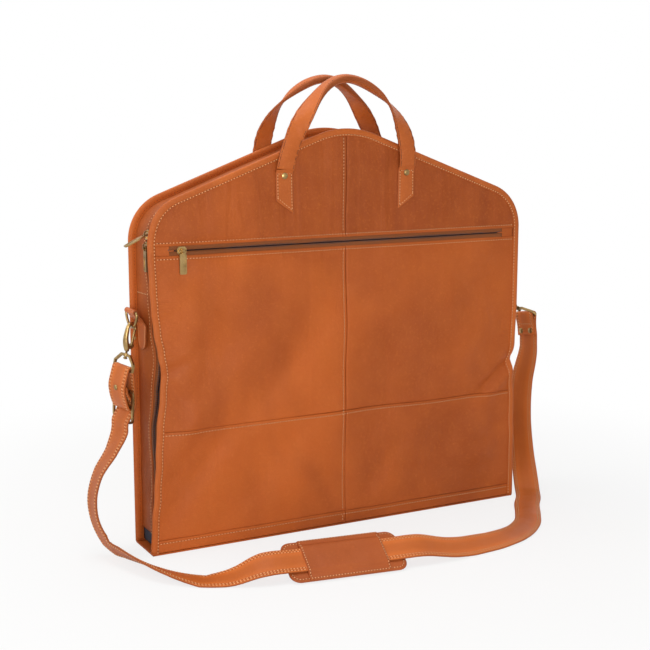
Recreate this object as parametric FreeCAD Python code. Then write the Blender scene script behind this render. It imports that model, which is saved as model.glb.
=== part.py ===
# Leather garment bag that folds in half: a rear half and a front half, hinged along the base and
# joined by a zip over the other three sides, with two handles and an adjustable shoulder strap.
# Frame: X across the bag, Y from front (-) to rear (+), Z up, origin at the middle of the base. Units mm.
import FreeCAD, Part
import math
import os
from FreeCAD import Vector

# --- outline of both halves -------------------------------------------------------------------
bag_width = 584.0
bag_depth = 70.0
side_height = 414.0        # top of the straight sides, where the shoulder arcs start
shoulder_r = 65.0
slope_deg = 20.6           # fall of the shoulders from the apex
apex_r = 130.0

# --- materials --------------------------------------------------------------------------------
leather_t = 1.8
binding_t = 1.2
gusset_t = 1.4
lining_t = 0.8
tape_t = 0.8
handle_t = 3.6
strap_t = 3.0
running_gap = 0.3          # between pieces that slide or swing past each other

# --- shells -----------------------------------------------------------------------------------
binding_w = 10.0           # how far the binding laps over the panels
binding_bevel = 1.2
gusset_inset = 10.0        # the side walls stand this far inside the outline
spine_t = 2.4
hem_height = 20.0          # leather of the base, turned up onto both faces
lower_seam_z = 167.0
board_t = 2.0
board_margin = 4.0

# --- main zip ---------------------------------------------------------------------------------
zip_y = -14.0              # plane of the main zip, nearer the front
chain_half = 1.8           # width of one row of teeth
chain_t = 2.8
channel = 1.2              # gap between the rows, where the slider's post runs
zip_reveal = 8.0           # from the zip plane to the leather edge on each side
tape_lap = 4.0

# --- sliders and pulls ------------------------------------------------------------------------
slider_w = 10.4
slider_len = 13.0
slider_plate_t = 2.0
bridge_h = 4.4
bridge_bar = 1.6
post_w = 0.7
pull_w = 9.6
pull_len = 27.0
pull_t = 1.9
pull_rim = 1.6
slider_below_arc = 3.0     # the lower slider's middle, below the start of the shoulder arc
slider_spacing = 15.0      # between the two sliders, measured along the zip
arc_shift = 0.2            # a straight slider sits this far inside the curved chain
upper_pull_turn = 38.0     # the upper pull rests tilted outwards on the slider below it

# --- front pocket -----------------------------------------------------------------------------
pocket_zip_drop = 8.0      # below the top of the straight sides
pocket_slot_h = 12.0
pocket_slot_margin = 38.0  # from the slot's end to the bag's edge
pocket_depth = 9.2         # room between the outer leather and the inner wall
pocket_tab_w = 25.0
pocket_slider_gap = 11.0   # from the slot's end to the slider's middle
pocket_tape_w = 14.0

# --- handles ----------------------------------------------------------------------------------
handle_x = 95.0
handle_w = 26.0
handle_drop = 27.0         # from the top edge above a handle's foot down to its cross stitch
handle_patch_len = 41.0    # short side of the stitched end
handle_point = 18.0        # how much longer its inner side is
handle_rise = 120.0
handle_lean = 16.0
handle_bulge = 5.0
grip_w = 21.0
grip_t = 9.0
patch_t = 2.0
rivet_r = 3.6
rivet_head = 1.6
rivet_drop = 8.0

# --- strap rings and hooks --------------------------------------------------------------------
ring_y = 11.5
ring_drop = 90.0           # below the top of the straight sides
ring_stand = 15.0          # how far the ring's bar hangs outside the gusset wall
ring_wire = 1.75
ring_bow = 20.75
ring_bends = 10
tab_w = 35.0
tab_t = 2.0
tab_tail = 52.0
tab_tail_w = 27.0
hook_wire = 2.4
hook_eye = 3.6
crook_bends = 6
hook_len = 36.0            # from the ring it hangs on to the swivel
gate_t = 2.6
link_half = 20.6           # half the width of the strap's own link, to its wire's middle
link_drop = 18.5
link_top_half = 9.0
link_wire = 3.2
left_lean = 14.0           # outward lean of the hooks as the strap lies
right_lean = 55.0
left_swivel = 15.0
right_swivel = 11.0

# --- shoulder strap ---------------------------------------------------------------------------
strap_w = 38.0
buckle_w = 47.0
buckle_h = 46.0
buckle_t = 2.6
buckle_wire = 3.4
buckle_drop = 49.5         # from the link's lower bar down to the buckle's middle bar
right_fold_len = 32.0      # end of the strap turned back at the right link
ply_gap = 0.3
pad_len = 160.0
pad_w = 66.0
pad_t = 4.0
sleeve_len = 112.0
sleeve_w = 60.0
sleeve_t = 2.2
pad_centre = Vector(-92.0, -198.0, 0.0)
pad_heading = -8.0
pad_tilt = 30.0
pad_slide_room = 24.0

# --- inside -----------------------------------------------------------------------------------
hanger_plate_drop = 52.0   # below the top of the bag
hanger_plate_w = 44.0
hanger_plate_h = 34.0
hanger_plate_t = 1.6
hanger_wire = 2.2
hanger_drop = 40.0
tie_z = 250.0
tie_w = 25.0
tie_t = 1.2

# --- worked out from the above ----------------------------------------------------------------
front_y = -bag_depth / 2
rear_y = bag_depth / 2
slope = math.radians(slope_deg)
shoulder_x = bag_width / 2 - shoulder_r
apex_z = side_height + (shoulder_r - apex_r + shoulder_x * math.sin(slope)) / math.cos(slope)
bag_height = apex_z + apex_r
top_over_handle = side_height + (shoulder_r + (shoulder_x - handle_x) * math.sin(slope)) / math.cos(slope)
lower_slider_z = side_height - slider_below_arc
pocket_zip_z = side_height - pocket_zip_drop
pocket_slot_half = bag_width / 2 - pocket_slot_margin
pocket_slider_x = pocket_slider_gap - pocket_slot_half
handle_stitch_z = top_over_handle - handle_drop
ring_z = side_height - ring_drop
hanger_z = bag_height - hanger_plate_drop
foot = spine_t + running_gap
tape_inset = gusset_inset + gusset_t
chain_inset = tape_inset + tape_t / 2 - chain_t / 2
lining_inset = tape_inset + tape_t + 0.2
panel_in = leather_t + binding_t          # depth of a panel's inner face behind the outer plane
wall_front = zip_y - zip_reveal
wall_rear = zip_y + zip_reveal
pocket_wall_y = front_y + panel_in + pocket_depth
gusset_x = bag_width / 2 - gusset_inset
ring_x = gusset_x + ring_stand
bridge_reach = chain_t / 2 + running_gap + slider_plate_t + bridge_h - bridge_bar / 2
pin_reach = chain_t / 2 + running_gap + slider_plate_t + running_gap + 0.9
upper_rise = lower_slider_z - side_height + slider_spacing
upper_turn = math.degrees(upper_rise / (shoulder_r - tape_inset - tape_t / 2))

os.makedirs("parts", exist_ok=True)
nodes = {}


def keep(name, *solids):
    nodes[name] = solids[0] if len(solids) == 1 else Part.makeCompound(list(solids))


def outline(inset, low):
    """Closed outline of a half in the XZ plane, set in from the edge, with its foot at a height."""
    side = bag_width / 2 - inset
    r, R = shoulder_r - inset, apex_r - inset
    across, up = math.sin(slope), math.cos(slope)
    half = math.pi / 4 - slope / 2

    def shoulder(sign, turn):
        return Vector(sign * (shoulder_x + r * math.cos(turn)), 0, side_height + r * math.sin(turn))

    def apex(sign):
        return Vector(sign * R * across, 0, apex_z + R * up)

    edges = []
    for sign in (-1, 1):
        corner = Vector(sign * side, 0, low)
        arc = [shoulder(sign, 0), shoulder(sign, half), shoulder(sign, 2 * half)]
        edges.append([Part.LineSegment(corner, arc[0]), Part.Arc(*arc), Part.LineSegment(arc[2], apex(sign))])
    top = Part.Arc(apex(-1), Vector(0, 0, apex_z + R), apex(1))
    base = Part.LineSegment(Vector(side, 0, low), Vector(-side, 0, low))
    loop = edges[0] + [top] + edges[1][::-1] + [base]
    return Part.Wire([e.toShape() for e in loop])


def sheet(inset, low, y0, y1):
    """A flat panel of the bag's shape between two depths."""
    face = Part.Face(Part.Wire(Part.__sortEdges__(outline(inset, low).Edges)))
    face.translate(Vector(0, y0, 0))
    return face.extrude(Vector(0, y1 - y0, 0))


def band(outer, inner, low, y0, y1):
    """The strip between two insets of the outline, open along the base."""
    return sheet(outer, low, y0, y1).cut(sheet(inner, low - 5, y0 - 1, y1 + 1))


def box(x0, x1, y0, y1, z0, z1):
    return Part.makeBox(x1 - x0, y1 - y0, z1 - z0, Vector(x0, y0, z0))


def edges_along(shape, axis):
    return [e for e in shape.Edges if abs((e.Vertexes[1].Point - e.Vertexes[0].Point).normalize().dot(axis)) > 0.9]


def rounded_box(x0, x1, y0, y1, z0, z1, r, axis):
    """A box whose four edges along an axis are rounded."""
    shape = box(x0, x1, y0, y1, z0, z1)
    return shape.makeFillet(r, edges_along(shape, axis))


def bevelled_box(x0, x1, y0, y1, z0, z1, cut, axis):
    """A box whose four edges along an axis are bevelled, for small hardware."""
    shape = box(x0, x1, y0, y1, z0, z1)
    return shape.makeChamfer(cut, edges_along(shape, axis))


def octagon(centre, side, ahead, r):
    """An eight-sided wire section round a centre, across a direction of travel."""
    up = ahead.cross(side).normalize()
    spots = []
    for i in range(8):
        a = math.radians(22.5 + 45 * i)
        spots.append(centre + side * (r * math.cos(a)) + up * (r * math.sin(a)))
    return Part.makePolygon(spots + [spots[0]])


def bent_wire(points, side, r):
    """A solid wire of octagon section along straight runs with mitred bends, as cast and forged brass is drawn."""
    section = octagon(points[0], side, (points[1] - points[0]).normalize(), r)
    return Part.makePolygon(points).makePipeShell([section], True, False, 1)


def cone_bead(foot_point, step, *radii):
    """Twelve-sided bead on an upright axis, one radius a step."""
    rings = []
    for i, r in enumerate(radii):
        spots = [foot_point + Vector(r * math.cos(k * math.pi / 6), r * math.sin(k * math.pi / 6), i * step) for k in range(12)]
        rings.append(Part.makePolygon(spots + [spots[0]]))
    return Part.makeLoft(rings, True, True)


def twelve_sided(r, length, start, axis):
    """A short round bar or boss drawn with twelve sides."""
    side = Vector(0, 0, 1) if abs(axis.z) < 0.7 else Vector(1, 0, 0)
    up = axis.cross(side)
    spots = []
    for k in range(12):
        a = math.radians(15 + 30 * k)
        spots.append(start + side * (r * math.cos(a)) + up * (r * math.sin(a)))
    return Part.Face(Part.makePolygon(spots + [spots[0]])).extrude(axis * length)


def half_turn(r, bends):
    """(across, up) corners of a half circle drawn round r in equal straight runs, level at its crown."""
    corner = r / math.cos(math.pi / 2 / bends)
    turns = [math.pi * (i + 0.5) / bends for i in range(bends)]
    return [(corner * math.cos(a), corner * math.sin(a)) for a in turns]


def mirrored_y(shape):
    return shape.mirror(Vector(0, 0, 0), Vector(0, 1, 0))


def mirrored_x(shape):
    return shape.mirror(Vector(0, 0, 0), Vector(1, 0, 0))


def rivet(centre, out, r=rivet_r, head=rivet_head):
    """A cap rivet standing on a face: a twelve-sided dome in two steps."""
    side = Vector(0, 0, 1) if abs(out.z) < 0.7 else Vector(1, 0, 0)
    side = (side - out * side.dot(out)).normalize()
    up = out.cross(side)
    rings = []
    for rise, radius in ((0.0, r), (0.55 * head, 0.86 * r), (head, 0.45 * r)):
        spots = []
        for i in range(12):
            a = math.radians(30 * i)
            spots.append(centre + out * rise + side * (radius * math.cos(a)) + up * (radius * math.sin(a)))
        rings.append(Part.makePolygon(spots + [spots[0]]))
    return Part.makeLoft(rings, True, True)


# --- leather panels ---------------------------------------------------------------------------
def cut_panels(y0, y1, rows):
    """Splits a panel of the bag's shape into left and right pieces by rows of heights."""
    whole = sheet(binding_t, foot, y0, y1)
    side = bag_width
    pieces = {}
    for name, low, high in rows:
        pieces[name] = (
            whole.common(box(-side, 0, y0 - 1, y1 + 1, low, high)),
            whole.common(box(0, side, y0 - 1, y1 + 1, low, high)),
        )
    return pieces


def make_front_panels():
    y0 = front_y + binding_t
    slot_low = pocket_zip_z - pocket_slot_h / 2
    slot_high = pocket_zip_z + pocket_slot_h / 2
    rows = [
        ("hem", foot, hem_height),
        ("lower", hem_height, lower_seam_z),
        ("pocket", lower_seam_z, slot_low),
        ("yoke", slot_high, bag_height + 1),
    ]
    pieces = cut_panels(y0, y0 + leather_t, rows)
    keep("front_hem", pieces["hem"][0].fuse(pieces["hem"][1]).removeSplitter())
    for name in ("lower", "pocket", "yoke"):
        keep(name + "_panel_left", pieces[name][0])
        keep(name + "_panel_right", pieces[name][1])


def make_rear_panels():
    y1 = rear_y - binding_t
    rows = [("lower", hem_height, lower_seam_z), ("upper", lower_seam_z, bag_height + 1)]
    pieces = cut_panels(y1 - leather_t, y1, rows)
    keep("rear_panels", *pieces["lower"], *pieces["upper"])


def make_base():
    """The leather base, turned up onto the rear face, and the stiff board that keeps it flat."""
    side = bag_width / 2 - binding_t
    y1 = rear_y - binding_t
    plate = box(-side, side, front_y + binding_t, y1, 0, spine_t)
    upstand = box(-side, side, y1 - leather_t, y1, 0, hem_height)
    spine = plate.fuse(upstand).removeSplitter()
    outer = [e for e in spine.Edges if abs(e.CenterOfMass.z) < 0.01 and abs(e.CenterOfMass.x) < 1]
    keep("base_spine", spine.makeFillet(leather_t - 0.4, outer))
    inner = gusset_x - gusset_t - tape_t - lining_t - board_margin
    board_rear = y1 - leather_t - lining_t - running_gap
    board = rounded_box(-inner, inner, wall_front + 2, board_rear, spine_t, spine_t + board_t, 6, Vector(0, 0, 1))
    keep("base_board", board)


def make_binding(face_y, inward):
    """The strip that wraps the raw edges of panel and gusset, with its outer edge eased."""
    stack = 2 * binding_t + leather_t + gusset_t
    y0, y1 = sorted((face_y, face_y + inward * stack))
    solid = band(0, binding_w, foot, y0, y1)
    rim = []
    for edge in solid.Edges:
        middle = edge.valueAt((edge.FirstParameter + edge.LastParameter) / 2)
        on_face = abs(middle.y - y0) < 0.01 or abs(middle.y - y1) < 0.01
        if on_face and middle.z > foot + 0.1 and on_outline(middle):
            rim.append(edge)
    solid = solid.makeChamfer(binding_bevel, rim)
    return solid.cut(band(binding_t, binding_w + 1, foot - 1, y0 + binding_t, y1 - binding_t))


def on_outline(point):
    """True where a point lies on the bag's outer outline."""
    x, z = abs(point.x), point.z
    if z <= side_height:
        return abs(x - bag_width / 2) < 0.05
    if abs(math.hypot(x - shoulder_x, z - side_height) - shoulder_r) < 0.05 and x > shoulder_x:
        return True
    if abs(math.hypot(x, z - apex_z) - apex_r) < 0.05:
        return True
    reach = (x * math.sin(slope) + (z - apex_z) * math.cos(slope)) - apex_r
    return abs(reach) < 0.05


def make_gusset(face_y, inward, wall_end):
    """Side wall of a half: a flange sewn in with the panel's edge, and a wall to the zip."""
    y0 = face_y + inward * panel_in
    y1 = y0 + inward * gusset_t
    flange = band(binding_t, gusset_inset + gusset_t, foot, min(y0, y1), max(y0, y1))
    wall = band(gusset_inset, gusset_inset + gusset_t, foot, min(y0, wall_end), max(y0, wall_end))
    return flange.fuse(wall).removeSplitter()


def make_shell_edges():
    keep("front_binding", make_binding(front_y, 1))
    keep("rear_binding", make_binding(rear_y, -1))
    keep("front_gusset", make_gusset(front_y, 1, wall_front))
    keep("rear_gusset", make_gusset(rear_y, -1, wall_rear))


def make_linings():
    """Fabric linings: a wall behind the pocket, and a tray in the rear half."""
    low = foot + 1.5
    wall = sheet(lining_inset, low, pocket_wall_y, pocket_wall_y + lining_t)
    rim = band(lining_inset, lining_inset + lining_t, low, front_y + panel_in, pocket_wall_y)
    keep("front_lining", wall.fuse(rim).removeSplitter())
    back = rear_y - panel_in
    tray_low = spine_t + board_t
    floor_side = gusset_x - gusset_t - tape_t - 0.2 - lining_t
    tray = sheet(lining_inset, tray_low, back - lining_t, back)
    rim = band(lining_inset, lining_inset + lining_t, tray_low, wall_rear + 1, back)
    floor = box(-floor_side, floor_side, wall_rear + 1, back, tray_low, tray_low + lining_t)
    keep("rear_lining", tray.fuse([rim, floor]).removeSplitter())


# --- main zip ---------------------------------------------------------------------------------
def make_main_zip():
    half = channel / 2
    low = foot + 2
    front_row = (zip_y - half - chain_half, zip_y - half)
    rear_row = (zip_y + half, zip_y + half + chain_half)
    keep("main_zip_tape_front", band(tape_inset, tape_inset + tape_t, low, wall_front - tape_lap, front_row[0]))
    keep("main_zip_tape_rear", band(tape_inset, tape_inset + tape_t, low, rear_row[1], wall_rear + tape_lap))
    keep("main_zip_teeth_front", band(chain_inset, chain_inset + chain_t, low, *front_row))
    keep("main_zip_teeth_rear", band(chain_inset, chain_inset + chain_t, low, *rear_row))


def slider_body():
    """A zip slider about the chain's middle: outward is -Y, across the chain X, along it Z."""
    near = chain_t / 2 + running_gap
    far = near + slider_plate_t
    half_w, half_l = slider_w / 2, slider_len / 2
    outer = bevelled_box(-half_w, half_w, -far, -near, -half_l, half_l, half_w * 0.5, Vector(0, 1, 0))
    inner = bevelled_box(-half_w, half_w, near, far, -half_l, half_l, half_w * 0.5, Vector(0, 1, 0))
    post = box(-post_w / 2, post_w / 2, -far, far, 0, half_l - 1)
    side = bridge_bar / 2
    span = half_l - 1.5
    arch = bevelled_box(-side, side, -far - bridge_h, -far + 2.5, -span, span, 2.0, Vector(1, 0, 0))
    arch = arch.cut(box(-side - 1, side + 1, -far + 0.4, -far + 3, -half_l, half_l))
    gap = box(-side - 1, side + 1, -far - bridge_h + bridge_bar, -far, -span + bridge_bar, span - bridge_bar)
    return outer.fuse([inner, post, arch.cut(gap)]).removeSplitter()


def pull_plate(top):
    """The recessed rectangular tab of a pull, hanging from a height, its back at y = 0."""
    half = pull_w / 2
    plate = bevelled_box(-half, half, -pull_t, 0, top - pull_len, top, 1.4, Vector(0, 1, 0))
    inset = pull_rim
    recess = box(-half + inset, half - inset, -pull_t - 1, -pull_t + 0.6, top - pull_len + inset, top - 8)
    return plate.cut(recess)


def stirrup_pull(reach):
    """A pull whose cross pin runs under the slider's bridge; it turns about that pin."""
    pin_r = 0.8
    arm = pull_w / 2 - 1.1
    pin = Part.makeCylinder(pin_r, 2 * arm, Vector(-arm, -reach, 0), Vector(1, 0, 0))
    top = -slider_len / 2 + 1.0
    plate = pull_plate(top)
    plate.translate(Vector(0, -reach + pull_t / 2, 0))
    arms = [
        box(x - 0.8, x + 0.8, -reach - pull_t / 2, -reach + pull_t / 2, top - 1, pin_r)
        for x in (-arm, arm)
    ]
    return pin.fuse([plate] + arms).removeSplitter()


def eye_pull(reach):
    """A pull whose eye goes round the slider's bridge bar, which lies along X."""
    hole = bridge_bar / 2 * math.sqrt(2) + running_gap
    eye_w = 3.0
    ring = twelve_sided(hole + 1.4, eye_w, Vector(-eye_w / 2, -reach, 0), Vector(1, 0, 0))
    bore = Part.makeCylinder(hole, eye_w + 2, Vector(-eye_w / 2 - 1, -reach, 0), Vector(1, 0, 0))
    top = -hole - 2.2
    neck = box(-eye_w / 2, eye_w / 2, -reach - pull_t / 2, -reach + pull_t / 2, top - 1, -hole)
    plate = pull_plate(top)
    plate.translate(Vector(0, -reach + pull_t / 2, 0))
    return ring.fuse([neck, plate]).cut(bore).removeSplitter()


def turn(shape, axis, degrees, about=None):
    copy = shape.copy()
    copy.rotate(about or Vector(0, 0, 0), axis, degrees)
    return copy


def on_main_zip(shape, rise):
    """Places a slider piece on the left side of the main zip, a distance along it from the sliders' start."""
    placed = turn(shape, Vector(0, 0, 1), -90)
    middle = gusset_x - gusset_t - tape_t / 2
    if rise <= 0:
        placed.translate(Vector(-middle, zip_y, side_height + rise))
        return placed
    radius = shoulder_r - tape_inset - tape_t / 2
    centre = Vector(-shoulder_x, zip_y, side_height)
    placed.translate(Vector(arc_shift - middle, zip_y, side_height))
    return turn(placed, Vector(0, 1, 0), math.degrees(rise / radius), centre)


def make_main_sliders():
    low = lower_slider_z - side_height
    keep("lower_slider", on_main_zip(slider_body(), low))
    keep("lower_slider_pull", on_main_zip(stirrup_pull(pin_reach), low))
    keep("upper_slider", on_main_zip(slider_body(), upper_rise))
    tilted = turn(stirrup_pull(pin_reach), Vector(1, 0, 0), -upper_pull_turn - upper_turn, Vector(0, -pin_reach, 0))
    keep("upper_slider_pull", on_main_zip(tilted, upper_rise))


# --- front pocket -----------------------------------------------------------------------------
def make_pocket():
    inner = front_y + panel_in
    half = channel / 2
    reach = pocket_slot_half + 8
    z = pocket_zip_z
    tapes, teeth = [], []
    for sign in (-1, 1):
        near, mid, far = z + sign * half, z + sign * (half + chain_half), z + sign * (half + pocket_tape_w)
        teeth.append(box(-reach, reach, inner - 0.9, inner - 0.9 + chain_t, min(near, mid), max(near, mid)))
        tapes.append(box(-reach, reach, inner, inner + tape_t, min(mid, far), max(mid, far)))
    keep("pocket_zip_tapes", *tapes)
    keep("pocket_zip_teeth", *teeth)
    low, high = z - pocket_slot_h / 2, z + pocket_slot_h / 2
    tab = box(pocket_slot_half, pocket_slot_half + pocket_tab_w, inner - leather_t, inner, low, high)
    tab = tab.cut(box(0, reach, inner - 1, inner + 1, z - half - chain_half, z + half + chain_half))
    cap = box(pocket_slot_half, pocket_slot_half + pocket_tab_w, inner - leather_t, inner - 1, low, high)
    tab = tab.fuse(cap).removeSplitter()
    keep("pocket_end_tabs", tab, mirrored_x(tab))
    middle_y = inner - 0.9 + chain_t / 2
    body = turn(slider_body(), Vector(0, 1, 0), 90)
    body.translate(Vector(pocket_slider_x, middle_y, z))
    keep("pocket_slider", body)
    pull = eye_pull(bridge_reach)
    pull.translate(Vector(pocket_slider_x, middle_y, z))
    keep("pocket_slider_pull", pull)


# --- handles ----------------------------------------------------------------------------------
def flat_face(*corners):
    return Part.Face(Part.makePolygon(list(corners) + [corners[0]]))


def ribbon(stations):
    """A strap through stations of (middle, width direction, normal, width, thickness), in flat facets."""
    rings = []
    for middle, across, normal, width, thick in stations:
        a, n = across * (width / 2), normal * (thick / 2)
        rings.append([middle - a - n, middle + a - n, middle + a + n, middle - a + n])
    faces = [flat_face(*rings[0]), flat_face(*rings[-1])]
    for before, after in zip(rings, rings[1:]):
        for i in range(4):
            j = (i + 1) % 4
            faces += [flat_face(before[i], before[j], after[j]), flat_face(before[i], after[j], after[i])]
    solid = Part.Solid(Part.Shell(faces))
    return solid if solid.Volume > 0 else solid.reversed()


def ease(value, low, high):
    part = min(max((value - low) / (high - low), 0.0), 1.0)
    return part * part * (3 - 2 * part)


def handle_path(turn_rad):
    """A point on the front handle's middle line, from its left foot (0) to its right foot (pi)."""
    k = math.sin(turn_rad)
    foot_y = front_y + binding_t - patch_t - handle_t / 2 + 0.3
    y = foot_y + handle_lean * k * k - handle_bulge * 4 * k * (1 - k)
    return Vector(-handle_x * math.cos(turn_rad), y, handle_stitch_z + running_gap + handle_rise * k)


def make_handle_loop():
    count = 30
    step = math.pi / count
    stations = []
    for i in range(count + 1):
        a = i * step
        here = handle_path(a)
        along = (handle_path(min(a + 0.01, math.pi)) - handle_path(max(a - 0.01, 0))).normalize()
        rise = math.sin(a)
        roll = math.pi / 2 * ease(rise, 0.25, 0.97)
        outward = Vector(-math.cos(a) * handle_rise, 0, math.sin(a) * handle_x).normalize()
        normal = Vector(0, -math.cos(roll), 0) + outward * math.sin(roll)
        across = along.cross(normal).normalize()
        normal = across.cross(along).normalize()
        full = ease(rise, 0.7, 0.95)
        width = handle_w + (grip_w - handle_w) * full
        thick = handle_t + (grip_t - handle_t) * full
        stations.append((here, across, normal, width, thick))
    return ribbon(stations)


def make_handle_end():
    """The stitched end of the right leg: a strap end cut to a point on its inner side."""
    face = front_y + binding_t
    inner, outer = handle_x - handle_w / 2, handle_x + handle_w / 2
    low = handle_stitch_z - handle_patch_len
    points = [(inner, handle_stitch_z), (outer, handle_stitch_z), (outer, low), (inner, low - handle_point)]
    corners = [Vector(x, face, z) for x, z in points]
    return Part.Face(Part.makePolygon(corners + [corners[0]])).extrude(Vector(0, -patch_t, 0))


def make_handles():
    loop = make_handle_loop()
    end = make_handle_end()
    face = front_y + binding_t - patch_t
    cap = rivet(Vector(handle_x, face, handle_stitch_z - rivet_drop), Vector(0, -1, 0))
    front = {"loop": [loop], "ends": [end, mirrored_x(end)], "rivets": [cap, mirrored_x(cap)]}
    for name, solids in front.items():
        keep("front_handle_" + name, *solids)
        keep("rear_handle_" + name, *[mirrored_y(s) for s in solids])


# --- rings, tabs and hooks --------------------------------------------------------------------
def round_bar(start, end, r):
    return Part.makeCylinder(r, (end - start).Length, start, end - start)


def d_ring():
    """A D ring in the YZ plane about its straight bar's middle, the bow hanging below."""
    path = [Vector(0, across, -up) for across, up in half_turn(ring_bow, ring_bends)]
    path = [Vector(0, ring_bow, ring_wire * 0.9)] + path + [Vector(0, -ring_bow, ring_wire * 0.9)]
    bow = bent_wire(path, Vector(1, 0, 0), ring_wire)
    bar = round_bar(Vector(0, -ring_bow, 0), Vector(0, ring_bow, 0), ring_wire)
    return bow.fuse(bar).removeSplitter()


def ring_tab():
    """Leather tab on the right gusset: a tapered tongue with a loop round the ring's bar."""
    wall = gusset_x
    half = tab_w / 2
    loop_r = ring_wire + running_gap + tab_t
    side = [(-half, 8), (half, 8), (half, -12), (tab_tail_w / 2, -tab_tail + tab_tail_w / 2)]
    end = (0, -tab_tail)
    left = [(-y, z) for y, z in side[:1:-1]]

    def at(point):
        return Vector(wall, ring_y + point[0], ring_z + point[1])

    edges = [Part.LineSegment(at(a), at(b)).toShape() for a, b in zip(side[:3], side[1:])]
    edges.append(Part.Arc(at(side[3]), at(end), at(left[0])).toShape())
    edges.append(Part.LineSegment(at(left[0]), at(left[1])).toShape())
    edges.append(Part.LineSegment(at(left[1]), at(side[0])).toShape())
    tongue = Part.Face(Part.Wire(edges)).extrude(Vector(tab_t, 0, 0))

    def loop(grow, reach):
        barrel = Part.makeCylinder(grow, 2 * reach, Vector(ring_x, ring_y - reach, ring_z), Vector(0, 1, 0))
        spot = [(wall + 0.2, 8), (ring_x, grow), (ring_x, -grow), (wall + 0.2, -12)]
        if grow < loop_r:
            spot = [(wall + tab_t, 8 - tab_t), (ring_x, grow), (ring_x, -grow), (wall + tab_t, -12 + tab_t)]
        corners = [Vector(x, ring_y - reach, ring_z + z) for x, z in spot]
        wedge = Part.Face(Part.makePolygon(corners + [corners[0]])).extrude(Vector(0, 2 * reach, 0))
        return barrel.fuse(wedge)

    return tongue.fuse(loop(loop_r, half).cut(loop(loop_r - tab_t, half + 1))).removeSplitter()


def hook_body():
    """A snap hook about the wire it hangs on: X towards the bag, Z up the shank."""
    mid = hook_eye + hook_wire
    tip = Vector(mid, 0, -2.0)
    path = [tip] + [Vector(x, 0, z) for x, z in half_turn(mid, crook_bends)] + [Vector(-mid, 0, -18)]
    crook = bent_wire(path, Vector(0, 1, 0), hook_wire)
    top, low = -15.0, -hook_len + 5.5
    shoulder = Part.makeLoft(
        [
            octagon(Vector(-mid, 0, top), Vector(1, 0, 0), Vector(0, 0, 1), hook_wire + 0.5),
            octagon(Vector(-2.2, 0, -24), Vector(1, 0, 0), Vector(0, 0, 1), 3.9),
            octagon(Vector(0, 0, low), Vector(1, 0, 0), Vector(0, 0, 1), 2.8),
        ],
        True,
        True,
    )
    neck = Part.makeCylinder(1.5, 9.0, Vector(0, 0, low - 9.0), Vector(0, 0, 1))
    ball = cone_bead(Vector(0, 0, low - 10.4), 1.2, 2.0, 3.0, 2.2)
    return crook.fuse([shoulder, neck, ball]).removeSplitter()


gate_pivot = Vector(hook_eye + hook_wire - 0.6, 0, -23.0)


def hook_gate():
    """The hook's sprung gate, from its pivot up to just under the crook's tip, with a thumb tab."""
    mid = hook_eye + hook_wire
    top = -2.0 - running_gap
    bar = bevelled_box(mid - 1.5, mid + 1.5, -gate_t / 2, gate_t / 2, -21.0, top, 0.5, Vector(0, 0, 1))
    boss = Part.makeCylinder(2.0, gate_t, gate_pivot - Vector(0, gate_t / 2, 0), Vector(0, 1, 0))
    thumb = bevelled_box(mid + 1, mid + 4.2, -1.6, 1.6, -14.0, -10.5, 0.9, Vector(0, 0, 1))
    gate = bar.fuse([boss, thumb]).removeSplitter()
    return gate


def hook_with_seat():
    seat_r = 2.0 + running_gap
    wide = gate_t / 2 + running_gap
    pocket = Part.makeCylinder(seat_r, 2 * wide, gate_pivot - Vector(0, wide, 0), Vector(0, 1, 0))
    sweep = box(0.5, 12, -wide, wide, -23, -2.05)
    ears = twelve_sided(2.7, 2 * wide + 2.4, gate_pivot - Vector(0, wide + 1.2, 0), Vector(0, 1, 0))
    web = box(0, gate_pivot.x, -wide - 1.2, wide + 1.2, gate_pivot.z - 5, gate_pivot.z)
    return hook_body().fuse([ears, web]).cut(pocket.fuse(sweep)).removeSplitter()


def link():
    """The strap's own link: half an octagon with a bored boss for the hook's swivel."""
    top, bottom = -hook_len, -hook_len - link_drop
    grow = link_wire / 2

    def frame(g):
        k = g * 0.41
        spots = [
            (-link_half - g, bottom - g),
            (link_half + g, bottom - g),
            (link_half + g, top - 10 + k),
            (link_top_half + k, top + g),
            (-link_top_half - k, top + g),
            (-link_half - g, top - 10 + k),
        ]
        corners = [Vector(-grow, y, z) for y, z in spots]
        return Part.Face(Part.makePolygon(corners + [corners[0]])).extrude(Vector(2 * grow, 0, 0))

    body = frame(grow).cut(frame(-grow))
    boss = twelve_sided(3.2, link_wire + 1, Vector(0, 0, top - grow - 0.5), Vector(0, 0, 1))
    bore = Part.makeCylinder(1.65, link_wire + 3, Vector(0, 0, top - grow - 1.5), Vector(0, 0, 1))
    return body.fuse(boss).cut(bore).removeSplitter()


def chain_frame(side):
    """Where a hook and link hang from a D ring: side -1 is left, 1 is right."""
    lean, spin = (left_lean, left_swivel) if side < 0 else (-right_lean, 180.0 + right_swivel)
    turned = FreeCAD.Rotation(Vector(0, 1, 0), lean).multiply(FreeCAD.Rotation(Vector(0, 0, 1), spin))
    sag = turned.multVec(Vector(0, 0, -(hook_eye - ring_wire - running_gap)))
    return FreeCAD.Placement(Vector(side * ring_x, ring_y, ring_z - ring_bow) + sag, turned)


def strap_frame(side):
    """Frame at the link's lower bar: Y along the bar, Z as near upright as it can be, X to the bag."""
    chain = chain_frame(side)
    along = chain.Rotation.multVec(Vector(0, 1, 0))
    turned = FreeCAD.Rotation(Vector(1, 0, 0), along, Vector(0, 0, 1), "YZX")
    return FreeCAD.Placement(chain.multVec(Vector(0, 0, -hook_len - link_drop)), turned)


def put(shape, frame):
    placed = shape.copy()
    placed.Placement = frame.multiply(placed.Placement)
    return placed


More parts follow.
